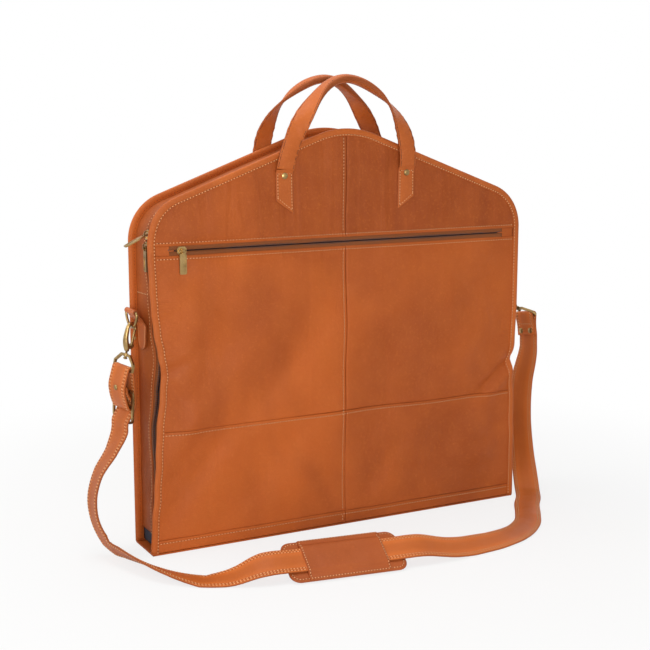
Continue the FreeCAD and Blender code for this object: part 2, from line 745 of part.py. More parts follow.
def make_hardware():
    right = d_ring()
    right.translate(Vector(ring_x, ring_y, ring_z))
    tab = ring_tab()
    keep("strap_ring_right", right)
    keep("strap_ring_left", mirrored_x(right))
    keep("ring_tab_right", tab)
    keep("ring_tab_left", mirrored_x(tab))
    for side, word in ((-1, "left"), (1, "right")):
        keep("snap_hook_" + word, put(hook_with_seat(), chain_frame(side)))
        keep("snap_hook_gate_" + word, put(hook_gate(), chain_frame(side)))
        keep("strap_link_" + word, put(link(), chain_frame(side)))


# --- shoulder strap ---------------------------------------------------------------------------
def arc_points(centre, r, start_deg, end_deg, count):
    """Points in the XZ plane round a centre."""
    spots = []
    for i in range(count + 1):
        a = math.radians(start_deg + (end_deg - start_deg) * i / count)
        spots.append(centre + Vector(r * math.cos(a), 0, r * math.sin(a)))
    return spots


def flat_stations(points, across):
    """Strap stations along points that lie in one plane, all with one width direction."""
    stations = []
    for i, here in enumerate(points):
        before, after = points[max(i - 1, 0)], points[min(i + 1, len(points) - 1)]
        along = (after - before).normalize()
        stations.append((here, across, along.cross(across).normalize(), strap_w, strap_t))
    return stations


def smooth_points(spots, parts, first=None, last=None):
    """Even samples of a smooth line through hand-set points, with its start and end directions."""
    curve = Part.BSplineCurve()
    if first:
        curve.interpolate(Points=spots, InitialTangent=first, FinalTangent=last)
    else:
        curve.interpolate(spots)
    knots = [curve.parameter(p) for p in spots]
    samples = []
    for i in range(len(spots) - 1):
        for j in range(parts):
            t = knots[i] + (knots[i + 1] - knots[i]) * j / parts
            samples.append((i, j / parts, curve.value(t), curve.tangent(t)[0]))
    end = knots[-1]
    samples.append((len(spots) - 2, 1.0, curve.value(end), curve.tangent(end)[0]))
    return samples


def route_stations(route, first, last, parts=2):
    """Stations along (point, width direction) pairs, the width turning evenly between them."""
    stations = []
    for i, f, here, along in smooth_points([p for p, _ in route], parts, first, last):
        across = route[i][1] * (1 - f) + route[i + 1][1] * f
        across = (across - along * across.dot(along)).normalize()
        normal = along.cross(across).normalize()
        here.z = max(here.z, abs(across.z) * strap_w / 2 + abs(normal.z) * strap_t / 2)
        stations.append((here, across, normal, strap_w, strap_t))
    return stations


link_wrap = link_wire / 2 * math.sqrt(2) + 0.1 + strap_t / 2
buckle_wrap = math.hypot(buckle_wire, buckle_t) / 2 + 0.1 + strap_t / 2
buckle_x = 1.0


def left_loop_points():
    """Up behind the buckle, over the link, down the front, round the buckle's bar and back up."""
    bar = Vector(buckle_x, 0, -buckle_drop)
    behind = buckle_x + buckle_wrap + strap_t + running_gap
    back = [
        Vector(-4.2, 0, -buckle_drop - 34),
        Vector(-3.6, 0, -buckle_drop - 21),
        Vector(2.6, 0, -buckle_drop - 11),
        Vector(behind, 0, -buckle_drop),
        Vector(behind - 0.6, 0, -buckle_drop + 20),
        Vector(5.4, 0, -13),
    ]
    front = [Vector(-7.2, 0, -11.5), Vector(-9.6, 0, -23.5), Vector(-7.6, 0, -36)]
    rise = [Vector(3.6, 0, -43.5), Vector(-0.6, 0, -37), Vector(-4.4, 0, -30.5), Vector(-6.3, 0, -21.5)]
    over = arc_points(Vector(0, 0, 0), link_wrap, 0, 180, 8)
    under = arc_points(bar, buckle_wrap, 190, 350, 8)
    return [s[2] for s in smooth_points(back, 3)] + over + front + under + rise


def make_buckle():
    """Slide buckle: a rounded frame with a middle bar, standing in the strap's plane."""
    half_w, half_h = buckle_w / 2, buckle_h / 2
    mid = -buckle_drop
    x0, x1 = buckle_x - buckle_t / 2, buckle_x + buckle_t / 2
    axis = Vector(1, 0, 0)
    frame = rounded_box(x0, x1, -half_w, half_w, mid - half_h, mid + half_h, 8, axis)
    wire = buckle_wire
    for low, high in ((mid - half_h + wire, mid - wire / 2), (mid + wire / 2, mid + half_h - wire)):
        frame = frame.cut(bevelled_box(x0 - 1, x1 + 1, -half_w + wire, half_w - wire, low, high, 0.8, axis))
    return frame


def pad_frame():
    """Frame of the pad: X along the strap, Y up the tilted pad, Z out of its face."""
    tilt = math.radians(pad_tilt)
    below = strap_t / 2 + running_gap + pad_t
    lift = pad_w / 2 * math.sin(tilt) + below * math.cos(tilt) + running_gap
    turned = FreeCAD.Rotation(Vector(0, 0, 1), pad_heading).multiply(FreeCAD.Rotation(Vector(1, 0, 0), pad_tilt))
    return FreeCAD.Placement(pad_centre + Vector(0, 0, lift), turned)


def lying(x, y, tilt, lift=0.0, heading=(1, 0)):
    """A strap station on the floor: its front edge down, its rear edge raised by a tilt."""
    a = math.radians(tilt)
    side = Vector(-heading[1], heading[0], 0).normalize()
    z = strap_t / 2 * math.cos(a) + strap_w / 2 * math.sin(a) + lift
    return Vector(x, y, z), side * math.cos(a) + Vector(0, 0, math.sin(a))


def make_strap():
    left, right = strap_frame(-1), strap_frame(1)
    loop = flat_stations(left_loop_points(), Vector(0, 1, 0))
    keep("strap_adjusting_loop", put(ribbon(loop), left))
    keep("strap_buckle", put(make_buckle(), left))

    frame = pad_frame()
    reach = pad_len / 2 + pad_slide_room + 4
    ends = [frame.multVec(Vector(s * reach, 0, 0)) for s in (-1, 1)]
    up = frame.Rotation.multVec(Vector(0, 1, 0))
    out = frame.Rotation.multVec(Vector(0, 0, 1))
    run = frame.Rotation.multVec(Vector(1, 0, 0))
    straight = [(p, up, out, strap_w, strap_t) for p in ends]

    start, next_up = [left.multVec(p) for p in left_loop_points()[:2]]
    rear = left.Rotation.multVec(Vector(0, 1, 0))
    left_route = [
        (start, rear),
        (Vector(-324, 12, 143), Vector(-0.1, 1, 0)),
        (Vector(-344, 11, 112), Vector(0, 1, 0)),
        (Vector(-353, 9, 76), Vector(0.05, 1, 0)),
        (Vector(-350, 6, 44), Vector(0.2, 0.95, 0.15)),
        (Vector(-340, -2, 21), Vector(0.6, 0.75, 0.25)),
        (Vector(-331, -18, 6), Vector(0.92, 0.35, 0.08)),
        lying(-325, -42, 0, heading=(0.2, -1)),
        lying(-314, -80, 0, heading=(0.35, -1)),
        lying(-296, -117, 0, heading=(0.65, -1)),
        lying(-269, -146, 4, heading=(1, -0.7)),
        lying(-236, -166, 19, lift=3, heading=(1, -0.45)),
        (ends[0], up),
    ]
    stations = route_stations(left_route, start - next_up, run)
    keep("strap_left_drop", ribbon(stations[:15]))
    keep("strap_front_left", ribbon(stations[14:]))
    keep("strap_under_pad", ribbon(straight))

    fold = right_fold_len
    ply = strap_t / 2 + ply_gap / 2
    outer = [(0, -fold - 16), (-0.6, -fold - 10), (-ply, -fold - 2), (-ply, -18), (-2.3, -11), (-3.3, -5)]
    inner = [(3.3, -5), (2.3, -11), (ply, -18), (ply, -fold)]
    over = arc_points(Vector(0, 0, 0), link_wrap, 180, 0, 8)
    fold_points = [Vector(x, 0, z) for x, z in outer] + over + [Vector(x, 0, z) for x, z in inner]
    keep("strap_right_fold", put(ribbon(flat_stations(fold_points, Vector(0, -1, 0))), right))

    top, next_up = [right.multVec(p) for p in fold_points[:2]]
    top_side = right.Rotation.multVec(Vector(0, -1, 0))
    leaning = Vector(-0.75, 0.65, 0)
    right_route = [
        (ends[1], up),
        lying(62, -216, 26, lift=3),
        lying(106, -213, 22, heading=(1, 0.1)),
        lying(150, -205, 16, heading=(1, 0.25)),
        lying(192, -187, 10, heading=(1, 0.6)),
        lying(228, -158, 5, heading=(0.8, 0.8)),
        lying(256, -122, 2, heading=(0.6, 0.9)),
        lying(281, -86, 0, heading=(0.55, 0.8)),
        lying(309, -52, 0, heading=(0.6, 0.8)),
        (Vector(325, -26, 6.5), Vector(-0.8, 0.6, 0)),
        (Vector(335, -6, 25), Vector(-0.8, 0.6, 0)),
        (Vector(339, 6, 58), leaning),
        (Vector(338, 12, 106), leaning),
        (Vector(339, 13, 165), Vector(-0.55, 0.85, 0)),
        (top, top_side),
    ]
    stations = route_stations(right_route, run, next_up - top)
    keep("strap_front_right", ribbon(stations[:17]))
    keep("strap_right_drop", ribbon(stations[16:]))

    caps = [put(rivet(Vector(-9.75 - strap_t / 2, 0, -24), Vector(-1, 0, 0)), left)]
    face = ply + strap_t / 2 + 0.05
    for y in (-10.0, 10.0):
        caps.append(put(rivet(Vector(face, y, -fold + 7), Vector(1, 0, 0)), right))
    keep("strap_rivets", *caps)


def make_pad():
    frame = pad_frame()
    seat = strap_t / 2 + running_gap
    base = rounded_box(-pad_len / 2, pad_len / 2, -pad_w / 2, pad_w / 2, -seat - pad_t, -seat, 14, Vector(0, 0, 1))
    low = [e for e in base.Edges if abs(e.BoundBox.ZMin + seat + pad_t) < 0.01 and e.BoundBox.ZLength < 0.01]
    keep("pad_base", put(base.makeChamfer(1.2, low), frame))
    half_l, half_w = sleeve_len / 2, sleeve_w / 2
    sleeve = rounded_box(-half_l, half_l, -half_w, half_w, -seat, seat + sleeve_t, 3, Vector(0, 0, 1))
    room = strap_w / 2 + running_gap
    sleeve = sleeve.cut(box(-half_l - 1, half_l + 1, -room, room, -seat - 1, seat))
    keep("pad_sleeve", put(sleeve, frame))


# --- inside the rear half ---------------------------------------------------------------------
def make_inside():
    lining_y = rear_y - panel_in - lining_t
    half_w, half_h = hanger_plate_w / 2, hanger_plate_h / 2
    t = hanger_plate_t
    plate = bevelled_box(-half_w, half_w, lining_y - t, lining_y, hanger_z - half_h, hanger_z + half_h, 4, Vector(0, 1, 0))
    pin_z = hanger_z - half_h + 6
    pin_y = lining_y - t - hanger_wire - 1.6
    pin_r = 1.5
    lug = 2.0
    gap = hanger_wire + running_gap
    lugs = []
    for sign in (-1, 1):
        x = sign * (gap + lug / 2)
        ear = twelve_sided(3.2, lug, Vector(x - lug / 2, pin_y, pin_z), Vector(1, 0, 0))
        foot_block = box(x - lug / 2, x + lug / 2, pin_y, lining_y - t, pin_z - 3.2, pin_z + 3.2)
        lugs += [ear, foot_block]
    pin = Part.makeCylinder(pin_r, 2 * (gap + lug), Vector(-gap - lug, pin_y, pin_z), Vector(1, 0, 0))
    caps = [rivet(Vector(s * (half_w - 6), lining_y - t, hanger_z + 6), Vector(0, -1, 0)) for s in (-1, 1)]
    keep("hanger_bracket", plate.fuse(lugs + [pin] + caps).removeSplitter())

    bend = 9.0
    w = hanger_wire
    low = -hanger_drop + bend + w
    tip = Vector(2 * bend, 0, low + 10)
    crook = [Vector(bend - across, 0, low - up) for across, up in half_turn(bend, crook_bends)]
    wire = bent_wire([Vector(0, 0, 0)] + crook + [tip], Vector(0, 1, 0), w)
    cap = cone_bead(tip, 1.2, w * 0.92, w * 0.5)
    eye = twelve_sided(pin_r + 2.0, 2 * w, Vector(-w, 0, 0), Vector(1, 0, 0))
    hole = Part.makeCylinder(pin_r + 0.1, 4 * w, Vector(-2 * w, 0, 0), Vector(1, 0, 0))
    hook = eye.fuse([wire, cap]).cut(hole).removeSplitter()
    hook.translate(Vector(0, pin_y, pin_z))
    keep("hanger_hook", hook)

    side = gusset_x - gusset_t - tape_t - lining_t - 14
    y0, y1 = lining_y - tie_t, lining_y
    z0, z1 = tie_z - tie_w / 2, tie_z + tie_w / 2
    clip = 17.0
    keep("garment_tie", box(-side, -clip, y0, y1, z0, z1), box(clip, side, y0, y1, z0, z1))
    grip = bevelled_box(-clip - 6, clip + 6, y0 - 4, y0, z0 - 3, z1 + 3, 3, Vector(0, 1, 0))
    keep("garment_tie_clip", grip)


def main():
    make_front_panels()
    make_rear_panels()
    make_base()
    make_shell_edges()
    make_linings()
    make_main_zip()
    make_main_sliders()
    make_pocket()
    make_handles()
    make_hardware()
    make_strap()
    make_pad()
    make_inside()
    for name, shape in nodes.items():
        shape.exportStep("parts/" + name + ".step")
    print(len(nodes), "nodes")


main()
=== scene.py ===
import math
import random
import bmesh
import bpy
from mathutils import Matrix, Vector, noise


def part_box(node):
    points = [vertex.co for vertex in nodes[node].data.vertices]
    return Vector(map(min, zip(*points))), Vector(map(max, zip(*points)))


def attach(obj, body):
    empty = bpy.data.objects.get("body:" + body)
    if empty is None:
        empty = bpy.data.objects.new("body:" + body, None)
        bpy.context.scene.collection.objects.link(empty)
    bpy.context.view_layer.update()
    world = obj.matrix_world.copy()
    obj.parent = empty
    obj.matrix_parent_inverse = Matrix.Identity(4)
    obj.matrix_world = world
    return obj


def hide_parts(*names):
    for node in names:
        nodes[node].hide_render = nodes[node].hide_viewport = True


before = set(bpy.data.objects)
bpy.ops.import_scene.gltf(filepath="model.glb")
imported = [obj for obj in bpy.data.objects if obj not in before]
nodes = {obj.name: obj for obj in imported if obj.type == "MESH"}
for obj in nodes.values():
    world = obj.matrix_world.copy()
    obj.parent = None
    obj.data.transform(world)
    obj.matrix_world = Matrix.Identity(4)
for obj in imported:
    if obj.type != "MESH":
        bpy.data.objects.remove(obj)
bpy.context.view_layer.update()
random.seed(7)
up = Vector((0, 0, 1))
mm = 0.001


# camera and lamps
view = {
    "eye": (-0.8557, -1.5836, 0.5935),
    "target": (-0.0339, -0.035, 0.2918),
    "lens": 71.4,
}
cameraData = bpy.data.cameras.new("camera")
cameraData.lens = view["lens"]
cameraData.sensor_width = 36
cameraData.clip_start = 0.05
camera = bpy.data.objects.new("camera", cameraData)
bpy.context.scene.collection.objects.link(camera)
camera.location = view["eye"]
sight = Vector(view["target"]) - Vector(view["eye"])
camera.rotation_euler = sight.to_track_quat("-Z", "Y").to_euler()
bpy.context.scene.camera = camera
bpy.context.scene.view_settings.view_transform = "Standard"

studio = {
    "world": 0.335,
    "key": ((-1.0, -1.75, 0.5), 0.7, 10.0),
    "fill": ((-0.7, -2.4, 0.75), 1.6, 14.5),
    "top": ((-0.2, 0.2, 2.2), 1.6, 23),
    "rim": ((-1.7, 0.3, 1.3), 1.2, 8),
}


def addLamp(name, place, size, power):
    lampData = bpy.data.lights.new(name, "AREA")
    lampData.shape = "DISK"
    lampData.size = size
    lampData.energy = power
    lamp = bpy.data.objects.new(name, lampData)
    bpy.context.scene.collection.objects.link(lamp)
    lamp.location = place
    lamp.rotation_euler = (Vector((0, 0, 0.25)) - Vector(place)).to_track_quat("-Z", "Y").to_euler()


for lampName in ("key", "fill", "top", "rim"):
    addLamp(lampName + "Lamp", *studio[lampName])


# shader maths: a value wraps one socket, and sums on it add their own nodes
class Value:
    def __init__(self, nodeTree, socket):
        self.nodeTree = nodeTree
        self.socket = socket

    def math(self, operation, *others):
        values = dict(enumerate((self,) + others))
        return self.nodeTree.node("ShaderNodeMath", {"operation": operation}, values)

    def __add__(self, other):
        return self.math("ADD", other)

    __radd__ = __add__

    def __mul__(self, other):
        return self.math("MULTIPLY", other)

    __rmul__ = __mul__

    def __sub__(self, other):
        return self.math("SUBTRACT", other)

    def __rsub__(self, other):
        return self.nodeTree.node("ShaderNodeMath", {"operation": "SUBTRACT"}, {0: other, 1: self})

    def step(self, low, high, start=0.0, end=1.0):
        settings = {"interpolation_type": "SMOOTHSTEP"}
        values = {"Value": self, "From Min": low, "From Max": high, "To Min": start, "To Max": end}
        return self.nodeTree.node("ShaderNodeMapRange", settings, values)


class NodeTree:
    def __init__(self, owner):
        owner.use_nodes = True
        self.tree = owner.node_tree

    def output(self, name):
        return Value(self, self.tree.nodes[name].outputs[0])

    def lightPath(self):
        made = self.node("ShaderNodeLightPath", {}, {}, "Is Camera Ray")
        return made, Value(self, made.socket.node.outputs["Is Glossy Ray"])

    def node(self, kind, settings, values, output=0):
        made = self.tree.nodes.new(kind)
        for key, setting in settings.items():
            setattr(made, key, setting)
        for key, value in values.items():
            self.fill(made.inputs[key], value)
        return Value(self, made.outputs[output])

    def fill(self, socket, value):
        if isinstance(value, Value):
            self.tree.links.new(value.socket, socket)
        else:
            socket.default_value = value


class Paint(NodeTree):
    def __init__(self, name):
        self.material = bpy.data.materials.new(name)
        super().__init__(self.material)
        self.shader = self.tree.nodes["Principled BSDF"]
        self.place = self.node("ShaderNodeTexCoord", {}, {}, "Object")

    def noise(self, scale, detail=3.0, rough=0.5, distort=0.0, where=None):
        values = {"Vector": where or self.place, "Scale": scale, "Detail": detail}
        values.update({"Roughness": rough, "Distortion": distort})
        return self.node("ShaderNodeTexNoise", {}, values)

    def cells(self, scale, feature="F1", **values):
        values.update({"Vector": self.place, "Scale": scale})
        return self.node("ShaderNodeTexVoronoi", {"feature": feature}, values)

    def axes(self):
        made = self.node("ShaderNodeSeparateXYZ", {}, {"Vector": self.place}, "X")
        return [made] + [Value(self, made.socket.node.outputs[axis]) for axis in "YZ"]

    def stretched(self, scale):
        return self.node("ShaderNodeMapping", {}, {"Vector": self.place, "Scale": scale})

    def mix(self, factor, first, second):
        return self.node("ShaderNodeMix", {"data_type": "RGBA"}, {0: factor, 6: first, 7: second}, 2)

    def along(self, name):
        return self.node("ShaderNodeAttribute", {"attribute_name": name}, {}, "Fac")

    def bump(self, height, distance, strength, under=None):
        values = {"Height": height, "Distance": distance, "Strength": strength}
        if under:
            values["Normal"] = under
        return self.node("ShaderNodeBump", {}, values)

    def set(self, **values):
        for key, value in values.items():
            self.fill(self.shader.inputs[key.replace("_", " ")], value)
        return self.material


def rgb(red, green, blue):
    def linear(value):
        value /= 255
        return value / 12.92 if value <= 0.04045 else ((value + 0.055) / 1.055) ** 2.4
    return (linear(red), linear(green), linear(blue), 1.0)


# leather, thread, cloth and brass
leatherLook = {
    "cloud": (7.5, 0.66),     # broad darker patches, the hide's uneven tone and painted shade of soft folds: scale, share
    "mottle": (38, 0.12),
    "speck": (300, 0.25),
    "grainScale": 620.0,      # pebbles a metre
    "grainDepth": 0.00022,
    "poreScale": 1500.0,
    "crackMix": 0.26,
    "scuffMix": 0.5,
    "creaseScale": (42.0, 42.0, 67.2),
    "creaseDepth": 0.0014,
    "bandMix": 0.45,          # darker middle of a strap
    "rimMix": 0.62,           # dark painted cut edge
    "roughness": (0.44, 0.60),
    "specular": 0.24,
}
hideLook = {                  # for the panels alone
    "shadedRightHalf": (-0.06, 0.02),       # x over which painted shade darkens the right half, as the light falls off from the left
    "rightShadeMix": 0.32,
    "yoke": (0.4155, 0.4165),         # z over which the yoke turns darker, above the pocket's zip
    "front": (0.0, -0.01),            # y over which the yoke's tone begins, as the rear has no yoke
    "yokeMix": 0.36,
    "streakMix": 0.34,
    "puckerDepth": 0.0042,
    "brushedDepth": 0.0055,
}


def darkerYokeAndPaintedShade(paint):        # painted shade on the right half, where the light falls off from the left; the yoke above the pocket's zip is darker, with streaks
    look = hideLook
    x, y, z = paint.axes()
    streak = paint.noise(1.0, 2, 0.5, 0.8, paint.stretched((22, 22, 2.6))).step(0.35, 0.7)
    yoke = z.step(*look["yoke"]) * y.step(*look["front"])
    right = x.step(*look["shadedRightHalf"]) * look["rightShadeMix"]
    return right + yoke * (look["yokeMix"] + streak * look["streakMix"])


def pulledFolds(paint, folds):    # puckers where the slack sides pull, and brushed streaks
    x, _, z = paint.axes()
    left = x.step(-0.238, -0.282) * z.step(0.20, 0.27) * (1 - z.step(0.355, 0.40))
    right = x.step(0.235, 0.282) * z.step(0.13, 0.20) * (1 - z.step(0.25, 0.32))
    patchy = paint.noise(26, 2, 0.5).step(0.38, 0.62)
    pucker = paint.noise(1.0, 2, 0.5, 1.2, paint.stretched((17, 17, 135)))
    pulled = pucker * (left + right * 0.6) * patchy
    folds = paint.bump(pulled, hideLook["puckerDepth"], 0.85, folds)
    brushed = paint.noise(1.0, 2, 0.5, 0.8, paint.stretched((30, 30, 3.4)))
    return paint.bump(brushed * z.step(0.37, 0.43, 0.35, 1.0), hideLook["brushedDepth"], 0.6, folds)


def makeLeather(name, middle, dark, light, wear=0.35, banded=False, edged=False, rough=0.0, pulled=False):
    look = leatherLook
    paint = Paint(name)
    scale, cloudAndFoldShadeMix = look["cloud"]
    cloud = paint.noise(scale, 2, 0.5, 0.5, paint.stretched((1.0, 1.0, 0.62))).step(0.30, 0.70)
    scale, mottleMix = look["mottle"]
    mottle = paint.noise(scale, 4, 0.6).step(0.3, 0.75)
    scale, speckMix = look["speck"]
    speck = paint.noise(scale, 3, 0.6).step(0.52, 0.75)
    # the panels get painted shade on their right half, and a darker yoke
    color = paint.mix(darkerYokeAndPaintedShade(paint), middle, dark) if pulled else middle
    # broad patches: the hide's uneven tone, with painted shade standing in for soft folds
    color = paint.mix(cloud * cloudAndFoldShadeMix, color, dark)
    color = paint.mix(mottle * mottleMix, color, light)
    pebble = paint.cells(look["grainScale"], "SMOOTH_F1", Smoothness=0.35)
    cracks = paint.cells(look["grainScale"], "DISTANCE_TO_EDGE")
    color = paint.mix(cracks.step(0.0, 0.09, look["crackMix"], 0.0), color, dark)
    color = paint.mix(speck * speckMix, color, light)
    scuff = paint.noise(1.0, 6, 0.7, 0.4, paint.stretched((34, 34, 9))).step(0.6, 0.78) * wear
    color = paint.mix(scuff * look["scuffMix"], color, light)
    if banded:
        band = paint.along("across").math("ABSOLUTE").step(0.18, 0.62)
        color = paint.mix((1.0 - band) * look["bandMix"], color, dark)
    if edged:
        cutEdge = (dark[0] * 0.5, dark[1] * 0.45, dark[2] * 0.45, 1)
        color = paint.mix(paint.along("rim") * look["rimMix"], color, cutEdge)
    wrinkle = paint.noise(1.0, 5, 0.62, 1.2, paint.stretched(look["creaseScale"]))
    pore = paint.cells(look["poreScale"])
    grain = pebble * 0.8 + cracks.step(0.0, 0.12, 0.0, 0.5) + pore * 0.2
    folds = paint.bump(wrinkle, look["creaseDepth"], 0.4, paint.bump(grain, look["grainDepth"], 0.75))
    if pulled:
        folds = pulledFolds(paint, folds)
    low, high = look["roughness"]
    gloss = paint.noise(22, 4, 0.6).step(0.3, 0.7, low + rough, high + rough) - scuff * 0.08
    return paint.set(Base_Color=color, Roughness=gloss, Normal=folds, Specular_IOR_Level=look["specular"])


def makeThread(name, color, shade):
    paint = Paint(name)
    twist = paint.noise(900, 2, 0.5).step(0.3, 0.7)
    values = {"Vector": paint.place, "Scale": 700.0}
    strand = paint.node("ShaderNodeTexWave", {"bands_direction": "DIAGONAL"}, values)
    color = paint.mix(twist * 0.6, color, shade)
    return paint.set(Base_Color=color, Roughness=0.75, Normal=paint.bump(strand, 0.0002, 0.5))


def makeCloth(name, warp, weft, threads, depth, sheen=0.1):
    paint = Paint(name)
    x, y, z = paint.axes()
    run = (x + y) * threads * math.tau
    rise = z * threads * math.tau
    over = run.math("SINE")
    under = rise.math("SINE")
    twill = (run * 0.5 + rise * 0.5).math("SINE").step(-0.6, 0.6)
    fuzz = paint.noise(260, 3, 0.6)
    color = paint.mix(twill, warp, weft)
    color = paint.mix(fuzz.step(0.4, 0.8) * 0.4, color, warp)
    weave = over.math("ABSOLUTE") * 0.5 + under.math("ABSOLUTE") * 0.5 + fuzz * 0.4
    gloss = fuzz.step(0.2, 0.8, 0.72, 0.9)
    relief = paint.bump(weave, depth, 0.7)
    return paint.set(Base_Color=color, Roughness=gloss, Normal=relief, Sheen_Weight=sheen)


def makeMetal(name, bright, dark, rough):
    paint = Paint(name)
    patina = paint.noise(70, 3, 0.5, 0.3).step(0.22, 0.80)
    spots = paint.noise(520, 3, 0.6).step(0.52, 0.75)
    color = paint.mix(patina * 0.85, bright, dark)
    color = paint.mix(spots * 0.35, color, dark)
    scratch = paint.noise(1.0, 3, 0.6, 0.0, paint.stretched((900, 900, 120)))
    gloss = patina * 0.22 + spots * 0.12 + rough
    relief = paint.bump(scratch, 0.00006, 0.35)
    return paint.set(Base_Color=color, Metallic=1.0, Roughness=gloss, Normal=relief)


def makePlain(name, color, rough, grain, depth):
    paint = Paint(name)
    fleck = paint.noise(grain, 4, 0.6)
    shade = tuple(c * 0.7 for c in color[:3]) + (1,)
    color = paint.mix(fleck.step(0.4, 0.7) * 0.5, color, shade)
    return paint.set(Base_Color=color, Roughness=rough, Normal=paint.bump(fleck, depth, 0.4))


tanDark = rgb(148, 67, 22)
tanLight = rgb(212, 118, 50)
leathers = {                  # middle, dark and light tone
    "panel": (rgb(199, 99, 36), tanDark, tanLight),
    "gusset": (rgb(168, 84, 35), rgb(132, 62, 24), tanLight),
    "binding": (rgb(198, 101, 39), rgb(160, 76, 28), rgb(220, 130, 62)),
    "strap": (rgb(214, 113, 47), rgb(172, 86, 33), rgb(228, 137, 68)),
    "handle": (rgb(204, 105, 43), rgb(160, 77, 29), rgb(222, 130, 62)),
    "pad": (rgb(176, 88, 40), rgb(136, 65, 28), rgb(200, 110, 54)),
}
materials = {
    "panel": makeLeather("panelLeather", *leathers["panel"], pulled=True),
    "gusset": makeLeather("gussetLeather", *leathers["gusset"], rough=0.03),
    "binding": makeLeather("bindingLeather", *leathers["binding"], wear=0.6, rough=-0.04),
    "strap": makeLeather("strapLeather", *leathers["strap"], banded=True, edged=True, rough=-0.05),
    "handle": makeLeather("handleLeather", *leathers["handle"], edged=True, rough=-0.06),
    "pad": makeLeather("padLeather", *leathers["pad"], rough=0.04),
    "thread": makeThread("thread", rgb(240, 190, 138), rgb(212, 152, 98)),
    # dark brown thread for the rear rim and handle rows, darker in part as painted shade of their grooves; it
    # also paints the shade inside each stitch hole
    "darkThreadAndHoleShade": makeThread("darkThreadAndHoleShade", rgb(112, 56, 28), rgb(84, 40, 20)),
    # brown zip tape, darkened in part as painted shade along the slots' edges
    "tape": makeCloth("zipTapeWithShade", rgb(144, 78, 28), rgb(106, 54, 19), 950.0, 0.0002, 0.0),
    "lining": makeCloth("liningCloth", rgb(17, 21, 38), rgb(28, 34, 54), 800.0, 0.00015, 0.04),
    "webbing": makeCloth("tieWebbing", rgb(20, 24, 38), rgb(34, 40, 58), 520.0, 0.0004),
    "brass": makeMetal("antiqueBrass", rgb(190, 158, 104), rgb(104, 80, 48), 0.24),
    "teeth": makePlain("zipTeeth", rgb(74, 54, 50), 0.38, 500, 0.0001),
    "clip": makePlain("clipPlastic", rgb(28, 28, 32), 0.45, 700, 0.0001),
    "board": makePlain("stiffBoard", rgb(44, 42, 40), 0.7, 300, 0.0003),
}
print("materials", len(materials))


def dress(obj, material):
    obj.data.materials.clear()
    obj.data.materials.append(materials[material])


cadFinish = {
    "brass": ["lower_slider", "lower_slider_pull", "upper_slider", "upper_slider_pull", "pocket_slider",
              "pocket_slider_pull", "front_handle_rivets", "rear_handle_rivets", "strap_ring_left",
              "strap_ring_right", "snap_hook_left", "snap_hook_right", "snap_hook_gate_left",
              "snap_hook_gate_right", "strap_link_left", "strap_link_right", "strap_buckle", "strap_rivets",
              "hanger_bracket", "hanger_hook"],
    "webbing": ["garment_tie"],
    "clip": ["garment_tie_clip"],
    "board": ["base_board"],
    "panel": ["base_spine"],
}
for finish, names in cadFinish.items():
    for name in names:
        dress(nodes[name], finish)


# the bag's outline and how it slumps
def corners(node):
    low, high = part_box(node)
    return Vector(low), Vector(high)


bindLow, bindHigh = corners("front_binding")
bag = {
    "half": bindHigh.x,
    "top": bindHigh.z,
    "foot": bindLow.z,
    "sideHeight": 0.414,
    "shoulderRadius": 0.065,
    "slope": math.radians(20.6),
    "apexRadius": 0.130,
    "front": bindLow.y,
    "rear": corners("rear_binding")[1].y,
    "bindingWidth": 0.010,
    "bindingThick": 0.0012,
    "leatherThick": 0.0018,
    "zipPlane": -0.014,
}
bag["shoulderX"] = bag["half"] - bag["shoulderRadius"]
bag["apexZ"] = bag["top"] - bag["apexRadius"]


def outlineSpans(inset):
    r, big = bag["shoulderRadius"] - inset, bag["apexRadius"] - inset
    turn, half = bag["slope"], bag["half"] - inset
    slopeStart = Vector((-bag["shoulderX"] - r * math.sin(turn), bag["sideHeight"] + r * math.cos(turn)))
    slopeEnd = Vector((-big * math.sin(turn), bag["apexZ"] + big * math.cos(turn)))
    lineUp = (Vector((-half, bag["foot"])), Vector((-half, bag["sideHeight"])))
    return [
        ("line",) + lineUp,
        ("arc", Vector((-bag["shoulderX"], bag["sideHeight"])), r, math.pi, math.pi / 2 + turn),
        ("line", slopeStart, slopeEnd),
        ("arc", Vector((0, bag["apexZ"])), big, math.pi / 2 + turn, math.pi / 2 - turn),
        ("line", Vector((-slopeEnd.x, slopeEnd.y)), Vector((-slopeStart.x, slopeStart.y))),
        ("arc", Vector((bag["shoulderX"], bag["sideHeight"])), r, math.pi / 2 - turn, 0.0),
        ("line", Vector((half, bag["sideHeight"])), Vector((half, bag["foot"]))),
    ]


def outlinePath(inset, spacing):
    path = []
    for kind, *facts in outlineSpans(inset):
        if kind == "line":
            start, end = facts
            out = Vector((start.y - end.y, end.x - start.x)).normalized()
            count = max(1, round((end - start).length / spacing))
            path += [(start.lerp(end, i / count), out) for i in range(count + (end.y < 0.1 and end.x > 0))]
        else:
            centre, r, a, b = facts
            count = max(2, round(abs(b - a) * r / spacing))
            for i in range(count):
                t = a + (b - a) * i / count
                out = Vector((math.cos(t), math.sin(t)))
                path.append((centre + out * r, out))
    return path


def topEdge(x, inset):
    x = abs(x)
    r, big, turn = bag["shoulderRadius"] - inset, bag["apexRadius"] - inset, bag["slope"]
    if x < big * math.sin(turn):
        return bag["apexZ"] + math.sqrt(big * big - x * x)
    if x < bag["shoulderX"] + r * math.sin(turn):
        return bag["sideHeight"] + (r - (x - bag["shoulderX"]) * math.sin(turn)) / math.cos(turn)
    return bag["sideHeight"] + math.sqrt(max(r * r - (x - bag["shoulderX"]) ** 2, 0))


